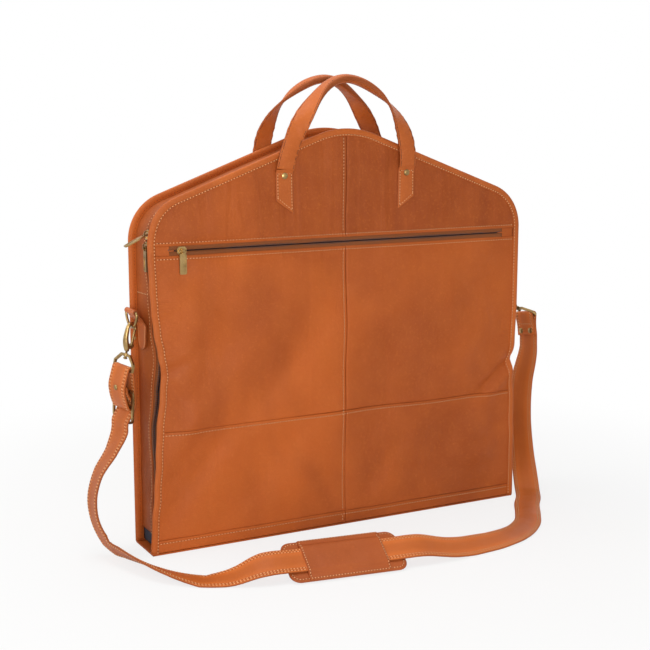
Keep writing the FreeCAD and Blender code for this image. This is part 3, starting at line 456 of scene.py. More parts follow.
def smooth(value, low, high):
    part = min(max((value - low) / (high - low), 0.0), 1.0)
    return part * part * (3 - 2 * part)


def bell(value, centre, width):
    return math.exp(-((value - centre) / width) ** 2)


def between(stops, value):
    for (a, first), (b, second) in zip(stops, stops[1:]):
        if value <= b:
            return first + (second - first) * smooth(value, a, b)
    return stops[-1][1]


slump = {                     # a dent is (height in metres, depth in millimetres)
    "leftDent": [(0.0, -1.5), (0.05, 1.2), (0.083, 4.5), (0.132, 7.5), (0.171, 10.5), (0.215, 15.5),
                 (0.243, 18.5), (0.272, 14.0), (0.301, 9.0), (0.33, 6.0), (0.358, 4.5), (0.40, 3.0),
                 (0.425, 3.0), (0.47, 0.0)],
    "zipDent": [(0.0, 0.0), (0.055, 0.0), (0.089, 3.4), (0.163, 0.5), (0.215, 5.5), (0.262, 9.5),
                (0.299, 6.0), (0.345, 2.0), (0.39, 0.0)],
    "rightDent": [(0.06, 0.0), (0.15, 1.5), (0.208, 6.5), (0.24, 2.0), (0.30, 0.0)],
    "reach": 0.085,           # how far a dent runs into the panel
    "billow": 0.0060,
    "drape": 0.0085,          # slanting folds across the face
    "ripple": 0.00075,
    "pinch": 0.0035,          # the face sinks beside the deepest part of the left dent
    "deepest": 18.5,
    "rearLimit": 0.0010,
    "pocketZ": (0.406, 0.016),    # the stiff zip band and the handle feet stay flat: place, width
    "footX": (0.095, 0.022),
    "footZ": (0.475, 0.038),
    "tieZ": (0.300, 0.040),
    "wallWave": 0.0022,
    "wallRipple": 0.0006,
}
creases = [                   # start, end, width and depth on the front face, in x and z
    ((0.292, 0.216), (0.236, 0.176), 0.011, 0.0062),
    ((0.236, 0.176), (0.205, 0.162), 0.016, 0.0020),
    ((-0.290, 0.246), (-0.236, 0.262), 0.010, 0.0022),
    ((-0.290, 0.236), (-0.250, 0.205), 0.012, 0.0020),
    ((-0.268, 0.100), (-0.205, 0.170), 0.022, 0.0034),
    ((-0.225, 0.100), (-0.185, 0.160), 0.020, 0.0024),
    ((-0.272, 0.045), (-0.230, 0.120), 0.024, 0.0022),
    ((-0.240, 0.372), (-0.150, 0.300), 0.024, 0.0026),
    ((0.275, 0.120), (0.215, 0.090), 0.016, 0.0020),
    ((0.030, 0.040), (0.090, 0.110), 0.022, 0.0018),
    ((0.150, 0.060), (0.250, 0.050), 0.018, 0.0014),
]


def creaseDepth(x, z):
    total = 0.0
    for start, end, width, depth in creases:
        a, b, here = Vector(start), Vector(end), Vector((x, z))
        run = b - a
        t = (here - a).dot(run) / run.length_squared
        if -0.35 < t < 1.35:
            side = run.x * (here.y - a.y) - run.y * (here.x - a.x)
            away = side / run.length / width
            fade = smooth(t, -0.35, 0.05) * (1 - smooth(t, 0.8, 1.35))
            valley = math.exp(-away * away * 2.2)
            ridge = 0.55 * math.exp(-(away - 1.25) ** 2 * 1.6)
            total += fade * depth * (valley - ridge)
    return total


def wobble(*place):
    return noise.noise(Vector(place))


def facePush(x, z, depth, edgeIn, low):
    layer = 1.0 if depth > 0.85 else depth       # the rear lining follows the rear panels
    calm = 1 - bell(z, *slump["pocketZ"])
    (footX, wideX), (footZ, wideZ) = slump["footX"], slump["footZ"]
    calm *= 1 - math.exp(-((abs(x) - footX) / wideX) ** 2 - ((z - footZ) / wideZ) ** 2)
    inside = smooth(edgeIn, 0.004, 0.07) * low * calm
    push = slump["billow"] * inside * (wobble(x * 6.1, layer * 3, z * 5.3 + 2) * 1.6 - 0.55)
    push += slump["drape"] * inside * wobble((x + z) * 3.2, layer * 2 + 7, (z - x) * 9.5)
    return push + slump["ripple"] * smooth(edgeIn, 0.0, 0.02) * low * wobble(x * 21, layer * 5, z * 19)


def settle(point):
    x, y, z = point
    depth = (y - bag["front"]) / (bag["rear"] - bag["front"])
    low = smooth(z, 0.0, 0.05)
    foreWeight = 1 - smooth(depth, 0.06, 0.40)
    zipWeight = smooth(depth, 0.06, 0.22) * (1 - smooth(depth, 0.34, 0.80))
    leftIn = 1 - smooth(x + bag["half"], 0.0, slump["reach"])
    rightIn = 1 - smooth(bag["half"] - x, 0.0, slump["reach"])
    leftDent = between(slump["leftDent"], z)
    shift = leftIn * (foreWeight * leftDent + zipWeight * between(slump["zipDent"], z)) * mm
    shift -= rightIn * (foreWeight + 0.6 * zipWeight) * between(slump["rightDent"], z) * mm
    face = 1 if depth < 0.5 else -1
    faceWeight = 1 - smooth(min(depth, 1 - depth), 0.10, 0.45)
    edgeIn = min(bag["half"] - abs(x), topEdge(min(abs(x), bag["half"] - 0.0005), 0) - z)
    push = facePush(x, z, depth, edgeIn, low)
    push -= slump["pinch"] * leftIn * (1 - leftIn) * 4 * foreWeight * leftDent / slump["deepest"]
    if face > 0 and depth < 0.2:
        push += creaseDepth(x, z)
    if face < 0 and push > 0:     # the tie and the lining lie close behind the rear panels
        push = slump["rearLimit"] * (1 - math.exp(-push / slump["rearLimit"]))
    sideWall = smooth(depth, 0.05, 0.2) * (1 - smooth(depth, 0.8, 0.95)) * low
    sideWall *= 1 - bell(z, *slump["tieZ"]) * smooth(depth, 0.42, 0.52)
    wave = wobble(x * 8, y * 26, z * 15 + 5) * slump["wallWave"]
    wave += wobble(x * 20, y * 60, z * 48) * slump["wallRipple"]
    side = smooth(abs(x), 0.20, 0.27)
    hem = math.copysign(1, x) * wave * sideWall * side * smooth(z, 0.05, 0.10) * (1 - smooth(z, 0.36, 0.40))
    roof = wave * sideWall * (1 - side) * smooth(z, 0.40, 0.45)
    return Vector((x + shift + hem, y + face * push * faceWeight, z + roof))


# mesh helpers
def finishPiece(name, bm, material, body, replaced=(),
                slack=True, thick=None, offset=-1.0, smoothShade=True):
    if slack:
        for vert in bm.verts:
            vert.co = settle(vert.co)
    mesh = bpy.data.meshes.new(name)
    for face in bm.faces:
        face.smooth = smoothShade
    bm.to_mesh(mesh)
    bm.free()
    piece = bpy.data.objects.new(name, mesh)
    bpy.context.scene.collection.objects.link(piece)
    dress(piece, material)
    if thick:
        wall = piece.modifiers.new("thickness", "SOLIDIFY")
        wall.thickness = thick
        wall.offset = offset
    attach(piece, body)
    if replaced:
        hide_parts(*replaced)
    return piece


def sweep(bm, stationCount, ringCount, spot, closed=True, capped=True):
    spotLayer = bm.verts.layers.int.get("spot") or bm.verts.layers.int.new("spot")
    first = [bm.verts.new(spot(0, k)) for k in range(ringCount)]
    for k, vert in enumerate(first):
        vert[spotLayer] = k
    pairs = zip(first, first[1:] + first[:1]) if closed else zip(first, first[1:])
    ring = [bm.edges.new(pair) for pair in pairs]
    rings = [ring]
    for i in range(1, stationCount):
        made = bmesh.ops.extrude_edge_only(bm, edges=ring)["geom"]
        ring = [g for g in made if isinstance(g, bmesh.types.BMEdge)]
        for vert in (g for g in made if isinstance(g, bmesh.types.BMVert)):
            vert.co = spot(i, vert[spotLayer])
    rings.append(ring)
    if closed and capped:
        for end in rings:
            bmesh.ops.contextual_create(bm, geom=end)
    bmesh.ops.recalc_face_normals(bm, faces=bm.faces)


def joinInto(bm, part):
    scratch = bpy.data.meshes.new("scratch")
    part.to_mesh(scratch)
    part.free()
    bm.from_mesh(scratch)
    bpy.data.meshes.remove(scratch)


# leather panels, each a stitched sheet with turned edges
panelShape = {
    "cell": 0.0045,
    "seamRound": 0.0022,      # how far in a turned edge starts to fall away
    "seamFall": 0.0011,
    "stitchIn": 0.0045,       # stitch line to seam
    "stitchSink": 0.00035,
    "stitchWide": 0.0013,
    "edgeCuts": [0.0006, 0.0014, 0.0030, 0.0045, 0.0062],     # finer mesh along each seam
    "rearThick": 0.0006,      # the turned edges stay clear of the lining behind them
}
panelFace = bag["front"] + bag["bindingThick"]


def edgeFall(distance):
    if distance >= panelShape["seamRound"]:
        return 0.0
    part = 1 - distance / panelShape["seamRound"]
    return panelShape["seamFall"] * part * part


def stitchSink(distance, line):
    return panelShape["stitchSink"] * bell(distance, line, panelShape["stitchWide"])


def gridPanel(name, x0, x1, z0, z1, face, body, replaced, stitched):      # without z1 it ends at the roof line
    bm = bmesh.new()
    across = max(4, round(abs(x1 - x0) / panelShape["cell"]))
    highest = z1 or bag["top"]
    rise = max(3, round((highest - z0) / panelShape["cell"]))
    bmesh.ops.create_grid(bm, x_segments=across, y_segments=rise, size=0.5)
    for span, normal in ((abs(x1 - x0), (1, 0, 0)), (highest - z0, (0, 1, 0))):
        for inset in panelShape["edgeCuts"]:
            for place in (inset / span - 0.5, 0.5 - inset / span):
                geom = bm.verts[:] + bm.edges[:] + bm.faces[:]
                cut = Vector(normal) * place
                bmesh.ops.bisect_plane(bm, geom=geom, plane_co=cut, plane_no=normal, dist=1e-5)
    surface = panelFace if face > 0 else bag["rear"] - bag["bindingThick"]
    for vert in bm.verts:
        u, v = vert.co.x + 0.5, vert.co.y + 0.5
        x = x0 + (x1 - x0) * u
        top = z1 or topEdge(x, bag["bindingThick"])
        z = z0 + (top - z0) * v
        gaps = {"left": abs(x - x0), "right": abs(x1 - x), "low": z - z0, "high": top - z}
        fall = max(edgeFall(gap) for gap in gaps.values())
        for side in stitched:
            fall += stitchSink(gaps[side], panelShape["stitchIn"])
        vert.co = Vector((x, surface + face * fall, z))
    bmesh.ops.recalc_face_normals(bm, faces=bm.faces)
    if sum(f.normal.y for f in bm.faces) * face > 0:
        bmesh.ops.reverse_faces(bm, faces=bm.faces)
    thick = bag["leatherThick"] if face > 0 else panelShape["rearThick"]
    return finishPiece(name, bm, "panel", body, replaced, thick=thick)


def panelBox(node):
    low, high = corners(node)
    return low.x, high.x, low.z, high.z


for side in ("left", "right"):
    for row in ("lower", "pocket", "yoke"):
        x0, x1, z0, z1 = panelBox(row + "_panel_" + side)
        stitched = {"lower": ["high"], "pocket": ["high"], "yoke": ["low"]}[row]
        if side == "left":
            stitched = stitched + ["right"]
        z1 = None if row == "yoke" else z1
        name = row + "Panel" + side.title()
        gridPanel(name, x0, x1, z0, z1, 1, "front_half", [row + "_panel_" + side], stitched)
x0, x1, z0, z1 = panelBox("front_hem")
gridPanel("frontHemLeft", x0, 0.0, z0, z1, 1, "front_half", ["front_hem"], ["high", "right"])
gridPanel("frontHemRight", 0.0, x1, z0, z1, 1, "front_half", ["front_hem"], ["high"])
print("front panels")

x0, x1, z0, z1 = panelBox("rear_panels")
seamZ = corners("lower_panel_left")[1].z
rearPieces = []
for side, a, b in (("Left", x0, 0.0), ("Right", 0.0, x1)):
    rearPieces.append(gridPanel("rearLower" + side, a, b, z0, seamZ, -1, "rear_half", [], ["high"]))
    rearPieces.append(gridPanel("rearUpper" + side, a, b, seamZ, None, -1, "rear_half", [], ["low"]))
for piece in rearPieces:
    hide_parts("rear_panels")
print("rear panels")


# bindings and gussets, swept round the outline
def outlineSweep(bm, profile, spacing, insetAt=0.0, cut=0.0):
    path = [stop for stop in outlinePath(insetAt, spacing) if stop[0].x > 0 or stop[0].y > cut]

    def spot(i, k):
        (place, out), (inset, y) = path[i], profile[k]
        flat = place - out * (inset - insetAt)
        return Vector((flat.x, y, flat.y))
    sweep(bm, len(path), len(profile), spot)


bindingShape = {"depth": 0.0056, "spacing": 0.005}


def bindingProfile(face):     # a folded strip: out over the puffed face, round the rim and back inside
    edge = bag["front"] if face > 0 else bag["rear"]
    wide, wall, deep = bag["bindingWidth"], bag["bindingThick"], bindingShape["depth"]
    outside = [(wide, 0.0008), (wide - 0.0003, 0.0002), (0.0085, 0.0004), (0.0070, -0.0001),
               (0.0056, -0.0004), (0.0038, -0.0004), (0.0022, 0.0), (0.0011, 0.0005), (0.0004, 0.0013),
               (0.0, 0.0028)]
    outside += [(inset, deep - lift) for inset, lift in reversed(outside[:-1])]
    inside = [(wide, wall), (0.0052, wall + 0.0001), (wall + 0.0004, wall + 0.0002), (wall, 0.0028)]
    inside += [(inset, deep - lift) for inset, lift in reversed(inside[:-1])]
    ring = outside + inside[::-1]
    return [(inset, edge + face * lift) for inset, lift in ring]


for word, face in (("front", 1), ("rear", -1)):
    bm = bmesh.new()
    outlineSweep(bm, bindingProfile(face), bindingShape["spacing"])
    finishPiece(word + "Binding", bm, "binding", word + "_half", [word + "_binding"])


gussetShape = {
    "start": 0.003,           # behind the face's edge, inside the binding
    "thick": 0.0014,
    "wall": 0.010,            # inset of the side wall
    "lip": 0.0058,            # the leather stops this far from the zip's plane
    "stitchAt": 0.0045,       # seam to its stitch line
    "stitchRise": 0.0003,
    "spacing": 0.005,
    "leftCut": 0.0185,        # at the left, the wall and the zip end this high, and the lining shows below
}


def gussetProfile(face, wallEnd):
    start = (bag["front"] if face > 0 else bag["rear"]) + face * gussetShape["start"]
    thick, wall = gussetShape["thick"], gussetShape["wall"]
    span = abs(wallEnd - start)
    count = max(4, round(span / 0.003))
    ring = [(0.0016, start + face * 0.0002), (0.0016, start + face * (thick - 0.0002))]
    ring.append((wall - 0.0006, start + face * thick))
    for i in range(1, count):
        y = start + face * (thick + (span - thick - 0.0008) * i / count)
        seam = gussetShape["stitchRise"] * bell(abs(wallEnd - y), gussetShape["stitchAt"], 0.0011)
        ring.append((wall + seam, y))
    ring += [(wall + 0.0002, wallEnd - face * 0.0006), (wall + 0.0009, wallEnd)]
    inner = (wallEnd - face * 0.0004, start + face * span * 0.6, start + face * 0.0006, start)
    return ring + [(wall + thick, y) for y in inner]


for word, face in (("front", 1), ("rear", -1)):
    profile = gussetProfile(face, bag["zipPlane"] - face * gussetShape["lip"])
    bm = bmesh.new()
    outlineSweep(bm, profile, gussetShape["spacing"], gussetShape["wall"], gussetShape["leftCut"])
    finishPiece(word + "Gusset", bm, "gusset", word + "_half", [word + "_gusset"])
print("bindings and gussets")


# linings, zip tapes and teeth
liningShape = {
    "inset": 0.0124, "thick": 0.0008,
    "cell": 0.009, "rise": 0.55,      # mesh size of the walls, and the height that it divides
    "spacing": 0.008, "rimSteps": 6,
    "tieZ": (0.25, 0.022),    # the rear wall stays flat at the tie: place, width
    "floorX": 0.2795, "floorY": -0.0045,
}
frontCloth = {"y": -0.0228, "rimEnd": -0.0315, "low": 0.0043, "wave": 0.0010, "lean": 0.0}
rearWall = corners("rear_lining")[1].y
rearCloth = {"y": rearWall - 0.0004, "rimEnd": -0.0046, "low": 0.0044, "wave": -0.0007, "lean": 0.0021}


def wallGrid(bm, low, y, wave, lean):
    inset = liningShape["inset"]
    half = bag["half"] - inset
    across, rise = (round(length / liningShape["cell"]) for length in (2 * half, liningShape["rise"]))
    made = bmesh.ops.create_grid(bm, x_segments=across, y_segments=rise, size=0.5)["verts"]
    for vert in made:
        x = vert.co.x * 2 * half
        top = topEdge(x, inset)
        z = low + (top - low) * (vert.co.y + 0.5)
        edge = smooth(min(half - abs(x), top - z, z - low), 0.0, 0.05) * (1 - bell(z, *liningShape["tieZ"]))
        ripple = wobble(x * 9, z * 4, y * 40) + 0.5 * wobble(x * 22, z * 9, 3)
        vert.co = Vector((x, y + wave * edge * (ripple + 1.3) - lean * (1 - smooth(z, 0.02, 0.07)), z))


def makeLining(name, body, replaced, cloth):
    bm = bmesh.new()
    y, low = cloth["y"], cloth["low"]
    wallGrid(bm, low, y, cloth["wave"], cloth["lean"])
    path = outlinePath(liningShape["inset"], liningShape["spacing"])
    count = liningShape["rimSteps"]

    def spot(i, k):
        place = path[i][0]
        return Vector((place.x, y + (cloth["rimEnd"] - y) * k / count, max(place.y, low)))
    sweep(bm, len(path), count + 1, spot, closed=False)
    bmesh.ops.remove_doubles(bm, verts=bm.verts, dist=0.0004)
    finishPiece(name, bm, "lining", body, replaced, thick=liningShape["thick"], offset=0.0)


makeLining("frontLining", "front_half", ["front_lining"], frontCloth)
makeLining("rearLining", "rear_half", ["rear_lining"], rearCloth)
bm = bmesh.new()
floorX, floorY = liningShape["floorX"], liningShape["floorY"]
deep = rearWall - 0.001 - floorY
bmesh.ops.create_grid(bm, x_segments=60, y_segments=5, size=0.5)
for vert in bm.verts:
    u, v = vert.co.x + 0.5, vert.co.y + 0.5
    vert.co = Vector((-floorX + 2 * floorX * u, floorY + deep * v, rearCloth["low"] + 0.0004))
finishPiece("liningFloor", bm, "lining", "rear_half", ["rear_lining"],
            slack=False, thick=liningShape["thick"], offset=0.0)
print("linings")

mainZip = {
    "tapeInset": 0.0114, "tapeThick": 0.0008,
    "chainInset": 0.0104, "chainDeep": 0.0028,
    "half": 0.0018, "channel": 0.0012,        # reach of one row's teeth, and the gap between the rows
    "pitch": 0.0026, "tooth": 0.0015,
    "foot": 0.0048,
    "tapeSteps": 4,
}


def tapeSweep(name, y0, y1, body, replaced):
    bm = bmesh.new()
    inset, thick = mainZip["tapeInset"], mainZip["tapeThick"]
    count = mainZip["tapeSteps"]
    face = [(inset, y0 + (y1 - y0) * k / count) for k in range(count + 1)]
    ring = face + [(inset + thick, stop[1]) for stop in reversed(face)]
    outlineSweep(bm, ring, gussetShape["spacing"], inset, gussetShape["leftCut"])
    finishPiece(name, bm, "tape", body, [replaced])


def toothShape(bm, place, along, out, across, sizes):
    turned = Matrix((along, across, out)).transposed().to_4x4()
    frameHere = Matrix.Translation(place) @ turned @ Matrix.Diagonal(tuple(sizes) + (1,))
    made = bmesh.ops.create_cube(bm, size=1.0, matrix=frameHere)["verts"]
    faces = {face for vert in made for face in vert.link_faces}
    outer = [face for face in faces if face.calc_center_median().dot(out) > place.dot(out) + sizes[2] * 0.4]
    bmesh.ops.inset_individual(bm, faces=outer, thickness=min(sizes) * 0.22, depth=0.0)
    for face in outer:
        for vert in face.verts:
            vert.co += out * sizes[2] * 0.18


def teethRow(name, side, body, replaced):
    bm = bmesh.new()
    half, channel = mainZip["half"], mainZip["channel"]
    y = bag["zipPlane"] + side * (channel / 2 + half / 2 + 0.0001)
    middle = mainZip["chainInset"] + mainZip["chainDeep"] / 2
    path = [stop[0] for stop in outlinePath(middle, 0.002)]
    sizes = (mainZip["tooth"], half + 0.0001, mainZip["chainDeep"] * 0.8)
    travelled, due = 0.0, mainZip["pitch"] * (0.5 if side > 0 else 1.0)       # the two rows alternate
    for a, b in zip(path, path[1:]):
        span = (b - a).length
        while span > 0 and due <= travelled + span:
            flat = a.lerp(b, (due - travelled) / span)
            run = (b - a).normalized()
            outward = Vector((-run.y, 0, run.x))
            place = settle(Vector((flat.x, y, flat.y)))
            if flat.y > (mainZip["foot"] if flat.x > 0 else gussetShape["leftCut"] + 0.001):
                toothShape(bm, place, Vector((run.x, 0, run.y)), outward, Vector((0, 1, 0)), sizes)
            due += mainZip["pitch"]
        travelled += span
    finishPiece(name, bm, "teeth", body, [replaced], slack=False, smoothShade=False)


tapeSweep("mainTapeFront", -0.026, -0.0150, "front_half", "main_zip_tape_front")
tapeSweep("mainTapeRear", -0.0130, -0.002, "rear_half", "main_zip_tape_rear")
teethRow("mainTeethFront", -1, "front_half", "main_zip_teeth_front")
teethRow("mainTeethRear", 1, "rear_half", "main_zip_teeth_rear")
print("main zip")

pocketLow, pocketHigh = corners("pocket_zip_teeth")
pocketZip = {
    "z": (pocketLow.z + pocketHigh.z) / 2, "reach": pocketHigh.x,
    "tapeY": corners("pocket_zip_tapes")[0].y, "chainY": (pocketLow.y + pocketHigh.y) / 2,
    "tapeRise": 0.0078, "tapeWidth": 0.0138,
}
bm = bmesh.new()
for side in (-1, 1):
    rise = pocketZip["z"] + side * pocketZip["tapeRise"]
    made = bmesh.ops.create_grid(bm, x_segments=130, y_segments=5, size=0.5)["verts"]
    for vert in made:
        x = vert.co.x * 2 * pocketZip["reach"]
        sag = 0.0003 * wobble(x * 30, side, 0)
        vert.co = Vector((x, pocketZip["tapeY"] + sag, rise + vert.co.y * pocketZip["tapeWidth"]))
finishPiece("pocketTapes", bm, "tape", "front_half", ["pocket_zip_tapes"],
            thick=mainZip["tapeThick"], offset=1.0)
bm = bmesh.new()
sizes = (mainZip["tooth"], mainZip["half"] + 0.0003, 0.0023)
for side in (-1, 1):
    count = int(2 * pocketZip["reach"] / mainZip["pitch"]) - 1
    for i in range(count):
        x = -pocketZip["reach"] + mainZip["pitch"] * (i + (0.5 if side > 0 else 1.0))
        z = pocketZip["z"] + side * (mainZip["channel"] / 2 + mainZip["half"] / 2 - 0.0001)
        toothShape(bm, Vector((x, pocketZip["chainY"], z)), Vector((1, 0, 0)), Vector((0, -1, 0)), up, sizes)
finishPiece("pocketTeeth", bm, "teeth", "front_half", ["pocket_zip_teeth"],
            slack=False, smoothShade=False)
print("pocket zip")


# leather stops at both ends of the pocket's zip
stopShape = {"length": 0.0275, "height": 0.0122, "rise": 0.0012}
stopStart = corners("pocket_end_tabs")[1].x - 0.025
bm = bmesh.new()
for side in (-1, 1):
    made = bmesh.ops.create_grid(bm, x_segments=18, y_segments=12, size=0.5)["verts"]
    for vert in made:
        far, v = (vert.co.x + 0.5) * stopShape["length"], vert.co.y
        fall = 0.0008 * (1 - smooth(far, 0.0, 0.0018)) + 0.0003 * bell(far, 0.0036, 0.0009)
        y = panelFace + stopShape["rise"] + fall
        vert.co = Vector((side * (stopStart + far), y, pocketZip["z"] + v * stopShape["height"]))
bmesh.ops.recalc_face_normals(bm, faces=bm.faces)
for face in bm.faces:
    if face.normal.y > 0:
        face.normal_flip()
finishPiece("pocketStops", bm, "panel", "front_half", ["pocket_end_tabs"],
            thick=bag["leatherThick"])


# handles: a stitched strap with a rolled grip
handleShape = {
    "x": 0.095, "width": 0.026, "thick": 0.0036, "rise": 0.120,
    "lean": 0.016, "bulge": 0.0065, "skew": 0.017,
    "gripWidth": 0.023, "gripThick": 0.0125,
    "patch": 0.002, "patchLength": 0.041, "point": 0.018,     # stitched foot: thickness, length and slant
    "stitchZ": corners("front_handle_ends")[1].z,
    "footGap": 0.0003,
    "stations": 150,
    "curl": 0.0013,           # the strap cups a little between foot and grip
    "lump": 0.0011, "fineLump": 0.0006,
    "rowIn": 0.0027,          # foot's edge to its stitch line
}


def handlePath(turn):
    k = math.sin(turn)
    s = handleShape
    footY = panelFace - s["patch"] - s["thick"] / 2 + 0.0003
    y = footY + s["lean"] * k * k - s["bulge"] * 4 * k * (1 - k)
    skew = s["skew"] * k * smooth(math.cos(turn), -0.5, 0.85)
    return Vector((skew - s["x"] * math.cos(turn), y, s["stitchZ"] + s["footGap"] + s["rise"] * k))


def handleStation(turn):
    along = (handlePath(min(turn + 0.01, math.pi)) - handlePath(max(turn - 0.01, 0))).normalized()
    rise = math.sin(turn)
    roll = math.pi / 2 * smooth(rise, 0.25, 0.97)
    outward = Vector((-math.cos(turn) * handleShape["rise"], 0, rise * handleShape["x"])).normalized()
    normal = Vector((0, -math.cos(roll), 0)) + outward * math.sin(roll)
    across = along.cross(normal).normalized()
    full = smooth(rise, 0.7, 0.95)
    return handlePath(turn), across, across.cross(along).normalized(), full


def handleSizes(turn, full):
    s = handleShape
    width = s["width"] + (s["gripWidth"] - s["width"]) * full
    thick = s["thick"] + (s["gripThick"] - s["thick"]) * full
    rise = math.sin(turn)
    crease = smooth(rise, 0.02, 0.12) * (1 - smooth(rise, 0.45, 0.75))
    return width, thick, crease


def footSqueeze(turn):        # the upper ply thins out where it meets the stitched foot
    return 0.45 + 0.55 * smooth(math.sin(turn), 0.0, 0.10)


# a strap's section, from -1 to 1 across, with sunk stitch lines and rounded edges
strapRing = [(-1.0, 0.0), (-0.985, 0.55), (-0.95, 0.86), (-0.90, 0.90), (-0.84, 0.82),
             (-0.78, 0.90), (-0.62, 0.97), (-0.3, 1.0), (0.0, 1.0)]
strapRing += [(-u, v) for u, v in reversed(strapRing[:-1])]
strapRing += [(u, -v) for u, v in reversed(strapRing[1:-1])]


def markRing(bm, ring):
    spotLayer = bm.verts.layers.int.get("spot")
    across = bm.verts.layers.float.new("across")
    rim = bm.verts.layers.float.new("rim")
    for vert in bm.verts:
        u = ring[vert[spotLayer]][0]
        vert[across] = u
        vert[rim] = smooth(abs(u), 0.955, 0.985)


def makeHandleLoop(name, body, flip, replaced):
    bm = bmesh.new()
    count = handleShape["stations"]

    def spot(i, k):
        turn = math.pi * i / (count - 1)
        middle, across, normal, full = handleStation(turn)
        width, thick, crease = handleSizes(turn, full)
        rise = math.sin(turn)
        u, v = strapRing[k]
        angle = math.atan2(v, u * 1.15)       # the flat section turns into a round one at the grip
        x = u + (math.cos(angle) - u) * full
        y = v + (math.sin(angle) * (1.0 if v > 0 else 0.96) - v) * full
        lump = wobble(u * 1.3, rise * 34 + u * 3, middle.x * 8) * handleShape["lump"]
        lump += wobble(u * 2, rise * 75 + u * 9, 7 + middle.x * 20) * handleShape["fineLump"]
        curl = -handleShape["curl"] * u * u * crease
        nip = 1 - 0.035 * crease * (0.5 + 0.5 * math.sin(rise * 60))
        if v < 0 and abs(u) < 0.2:
            y *= 1 - 0.10 * full
        if v > 0:
            y *= footSqueeze(turn)
        point = middle + across * (x * width / 2 * nip) + normal * (y * thick / 2 + lump * crease + curl)
        return Vector((point.x * flip, point.y * flip, point.z))
    sweep(bm, count, len(strapRing), spot)
    markRing(bm, strapRing)
    bmesh.ops.recalc_face_normals(bm, faces=bm.faces)
    finishPiece(name, bm, "handle", body, [replaced], slack=False)


def crowded(part):            # more rows of the mesh near both edges
    return 0.5 - 0.5 * math.cos(math.pi * part) if 0 < part < 1 else part


def makeHandleEnds(name, body, flip, replaced):
    s = handleShape
    bm = bmesh.new()
    rim = bm.verts.layers.float.new("rim")
    for side in (-1, 1):
        made = bmesh.ops.create_grid(bm, x_segments=14, y_segments=34, size=0.5)["verts"]
        for vert in made:
            u, v = crowded(vert.co.x + 0.5), crowded(vert.co.y + 0.5)
            lowEdge = s["stitchZ"] - s["patchLength"] - s["point"] * (1 - u)
            z = lowEdge + (s["stitchZ"] + 0.0002 - lowEdge) * v
            gap = min(min(u, 1 - u) * s["width"], (z - lowEdge) * 0.85)
            vert[rim] = 1 - smooth(gap, 0.0, 0.0007)
            thick = s["patch"] * (0.55 + 0.45 * smooth(gap, 0.0, 0.0012))
            thick -= 0.00025 * bell(gap, 0.0026, 0.0008)      # sunk stitch line
            thick += 0.0021 * smooth(z, s["stitchZ"] - 0.0045, s["stitchZ"])
            x = s["x"] + (u - 0.5) * s["width"]
            vert.co = Vector((side * x, (panelFace - thick - 0.0001) * flip, z))
    rimEdges = [edge for edge in bm.edges if edge.is_boundary]
    made = bmesh.ops.extrude_edge_only(bm, edges=rimEdges)["geom"]
    for vert in (g for g in made if isinstance(g, bmesh.types.BMVert)):
        vert.co.y = (panelFace + 0.0004) * flip
        vert[rim] = 1.0
    bmesh.ops.recalc_face_normals(bm, faces=bm.faces)
    outward = sum(f.normal.y * f.calc_area() for f in bm.faces if abs(f.normal.y) > 0.8)
    if outward * flip > 0:
        bmesh.ops.reverse_faces(bm, faces=bm.faces)
    finishPiece(name, bm, "handle", body, [replaced])


for word, flip in (("front", 1), ("rear", -1)):
    makeHandleLoop(word + "HandleLoop", word + "_handle", flip, word + "_handle_loop")
    makeHandleEnds(word + "HandleEnds", word + "_half", flip, word + "_handle_ends")
print("handles")


# ring tabs: a tapered tongue on the gusset, rolled round the ring's bar
tabShape = {
    "ringX": 0.297, "y": 0.0115, "z": 0.324,      # the ring's bar
    "ringWire": 0.00175, "gap": 0.0003,
    "wall": 0.282, "thick": 0.0017,
    "width": 0.034, "tail": 0.052, "tailWidth": 0.026,
    "tongueSteps": 21, "rollSteps": 14, "endSteps": 7,
}


def tabProfile():
    s = tabShape
    r = s["ringWire"] + s["gap"] + s["thick"] / 2
    back = s["wall"] + s["thick"] / 2 + 0.0001
    top = s["ringX"] - r * 0.62

    def climb(rise):
        return back + (top - back) * smooth(rise, 0.032, s["tail"] - 0.003)
    path = []
    for i in range(s["tongueSteps"] + 1):     # the tongue climbs out to the bar
        rise = (s["tail"] - 0.0055) * i / s["tongueSteps"]
        path.append((climb(rise), s["z"] - s["tail"] + rise))
    for i in range(s["rollSteps"] + 1):
        a = math.radians(-118 + 300 * i / s["rollSteps"])
        path.append((s["ringX"] + r * math.cos(a), s["z"] + r * math.sin(a)))
    for i in range(1, s["endSteps"] + 1):     # the other end comes down behind the tongue
        drop = 0.004 + 0.0075 * i / s["endSteps"]
        path.append((max(back, climb(s["tail"] - drop) - 0.0019), s["z"] - drop))
    return path


def tabHalf(z, i):
    s = tabShape
    if i > s["tongueSteps"]:
        return s["width"] / 2
    rise = z - (s["z"] - s["tail"])
    r = s["tailWidth"] / 2
    if rise < r:
        return max(math.sqrt(max(r * r - (r - rise) ** 2, 0.0)), 0.0012)
    return r + (s["width"] / 2 - r) * smooth(rise, r, s["tail"] - 0.010)


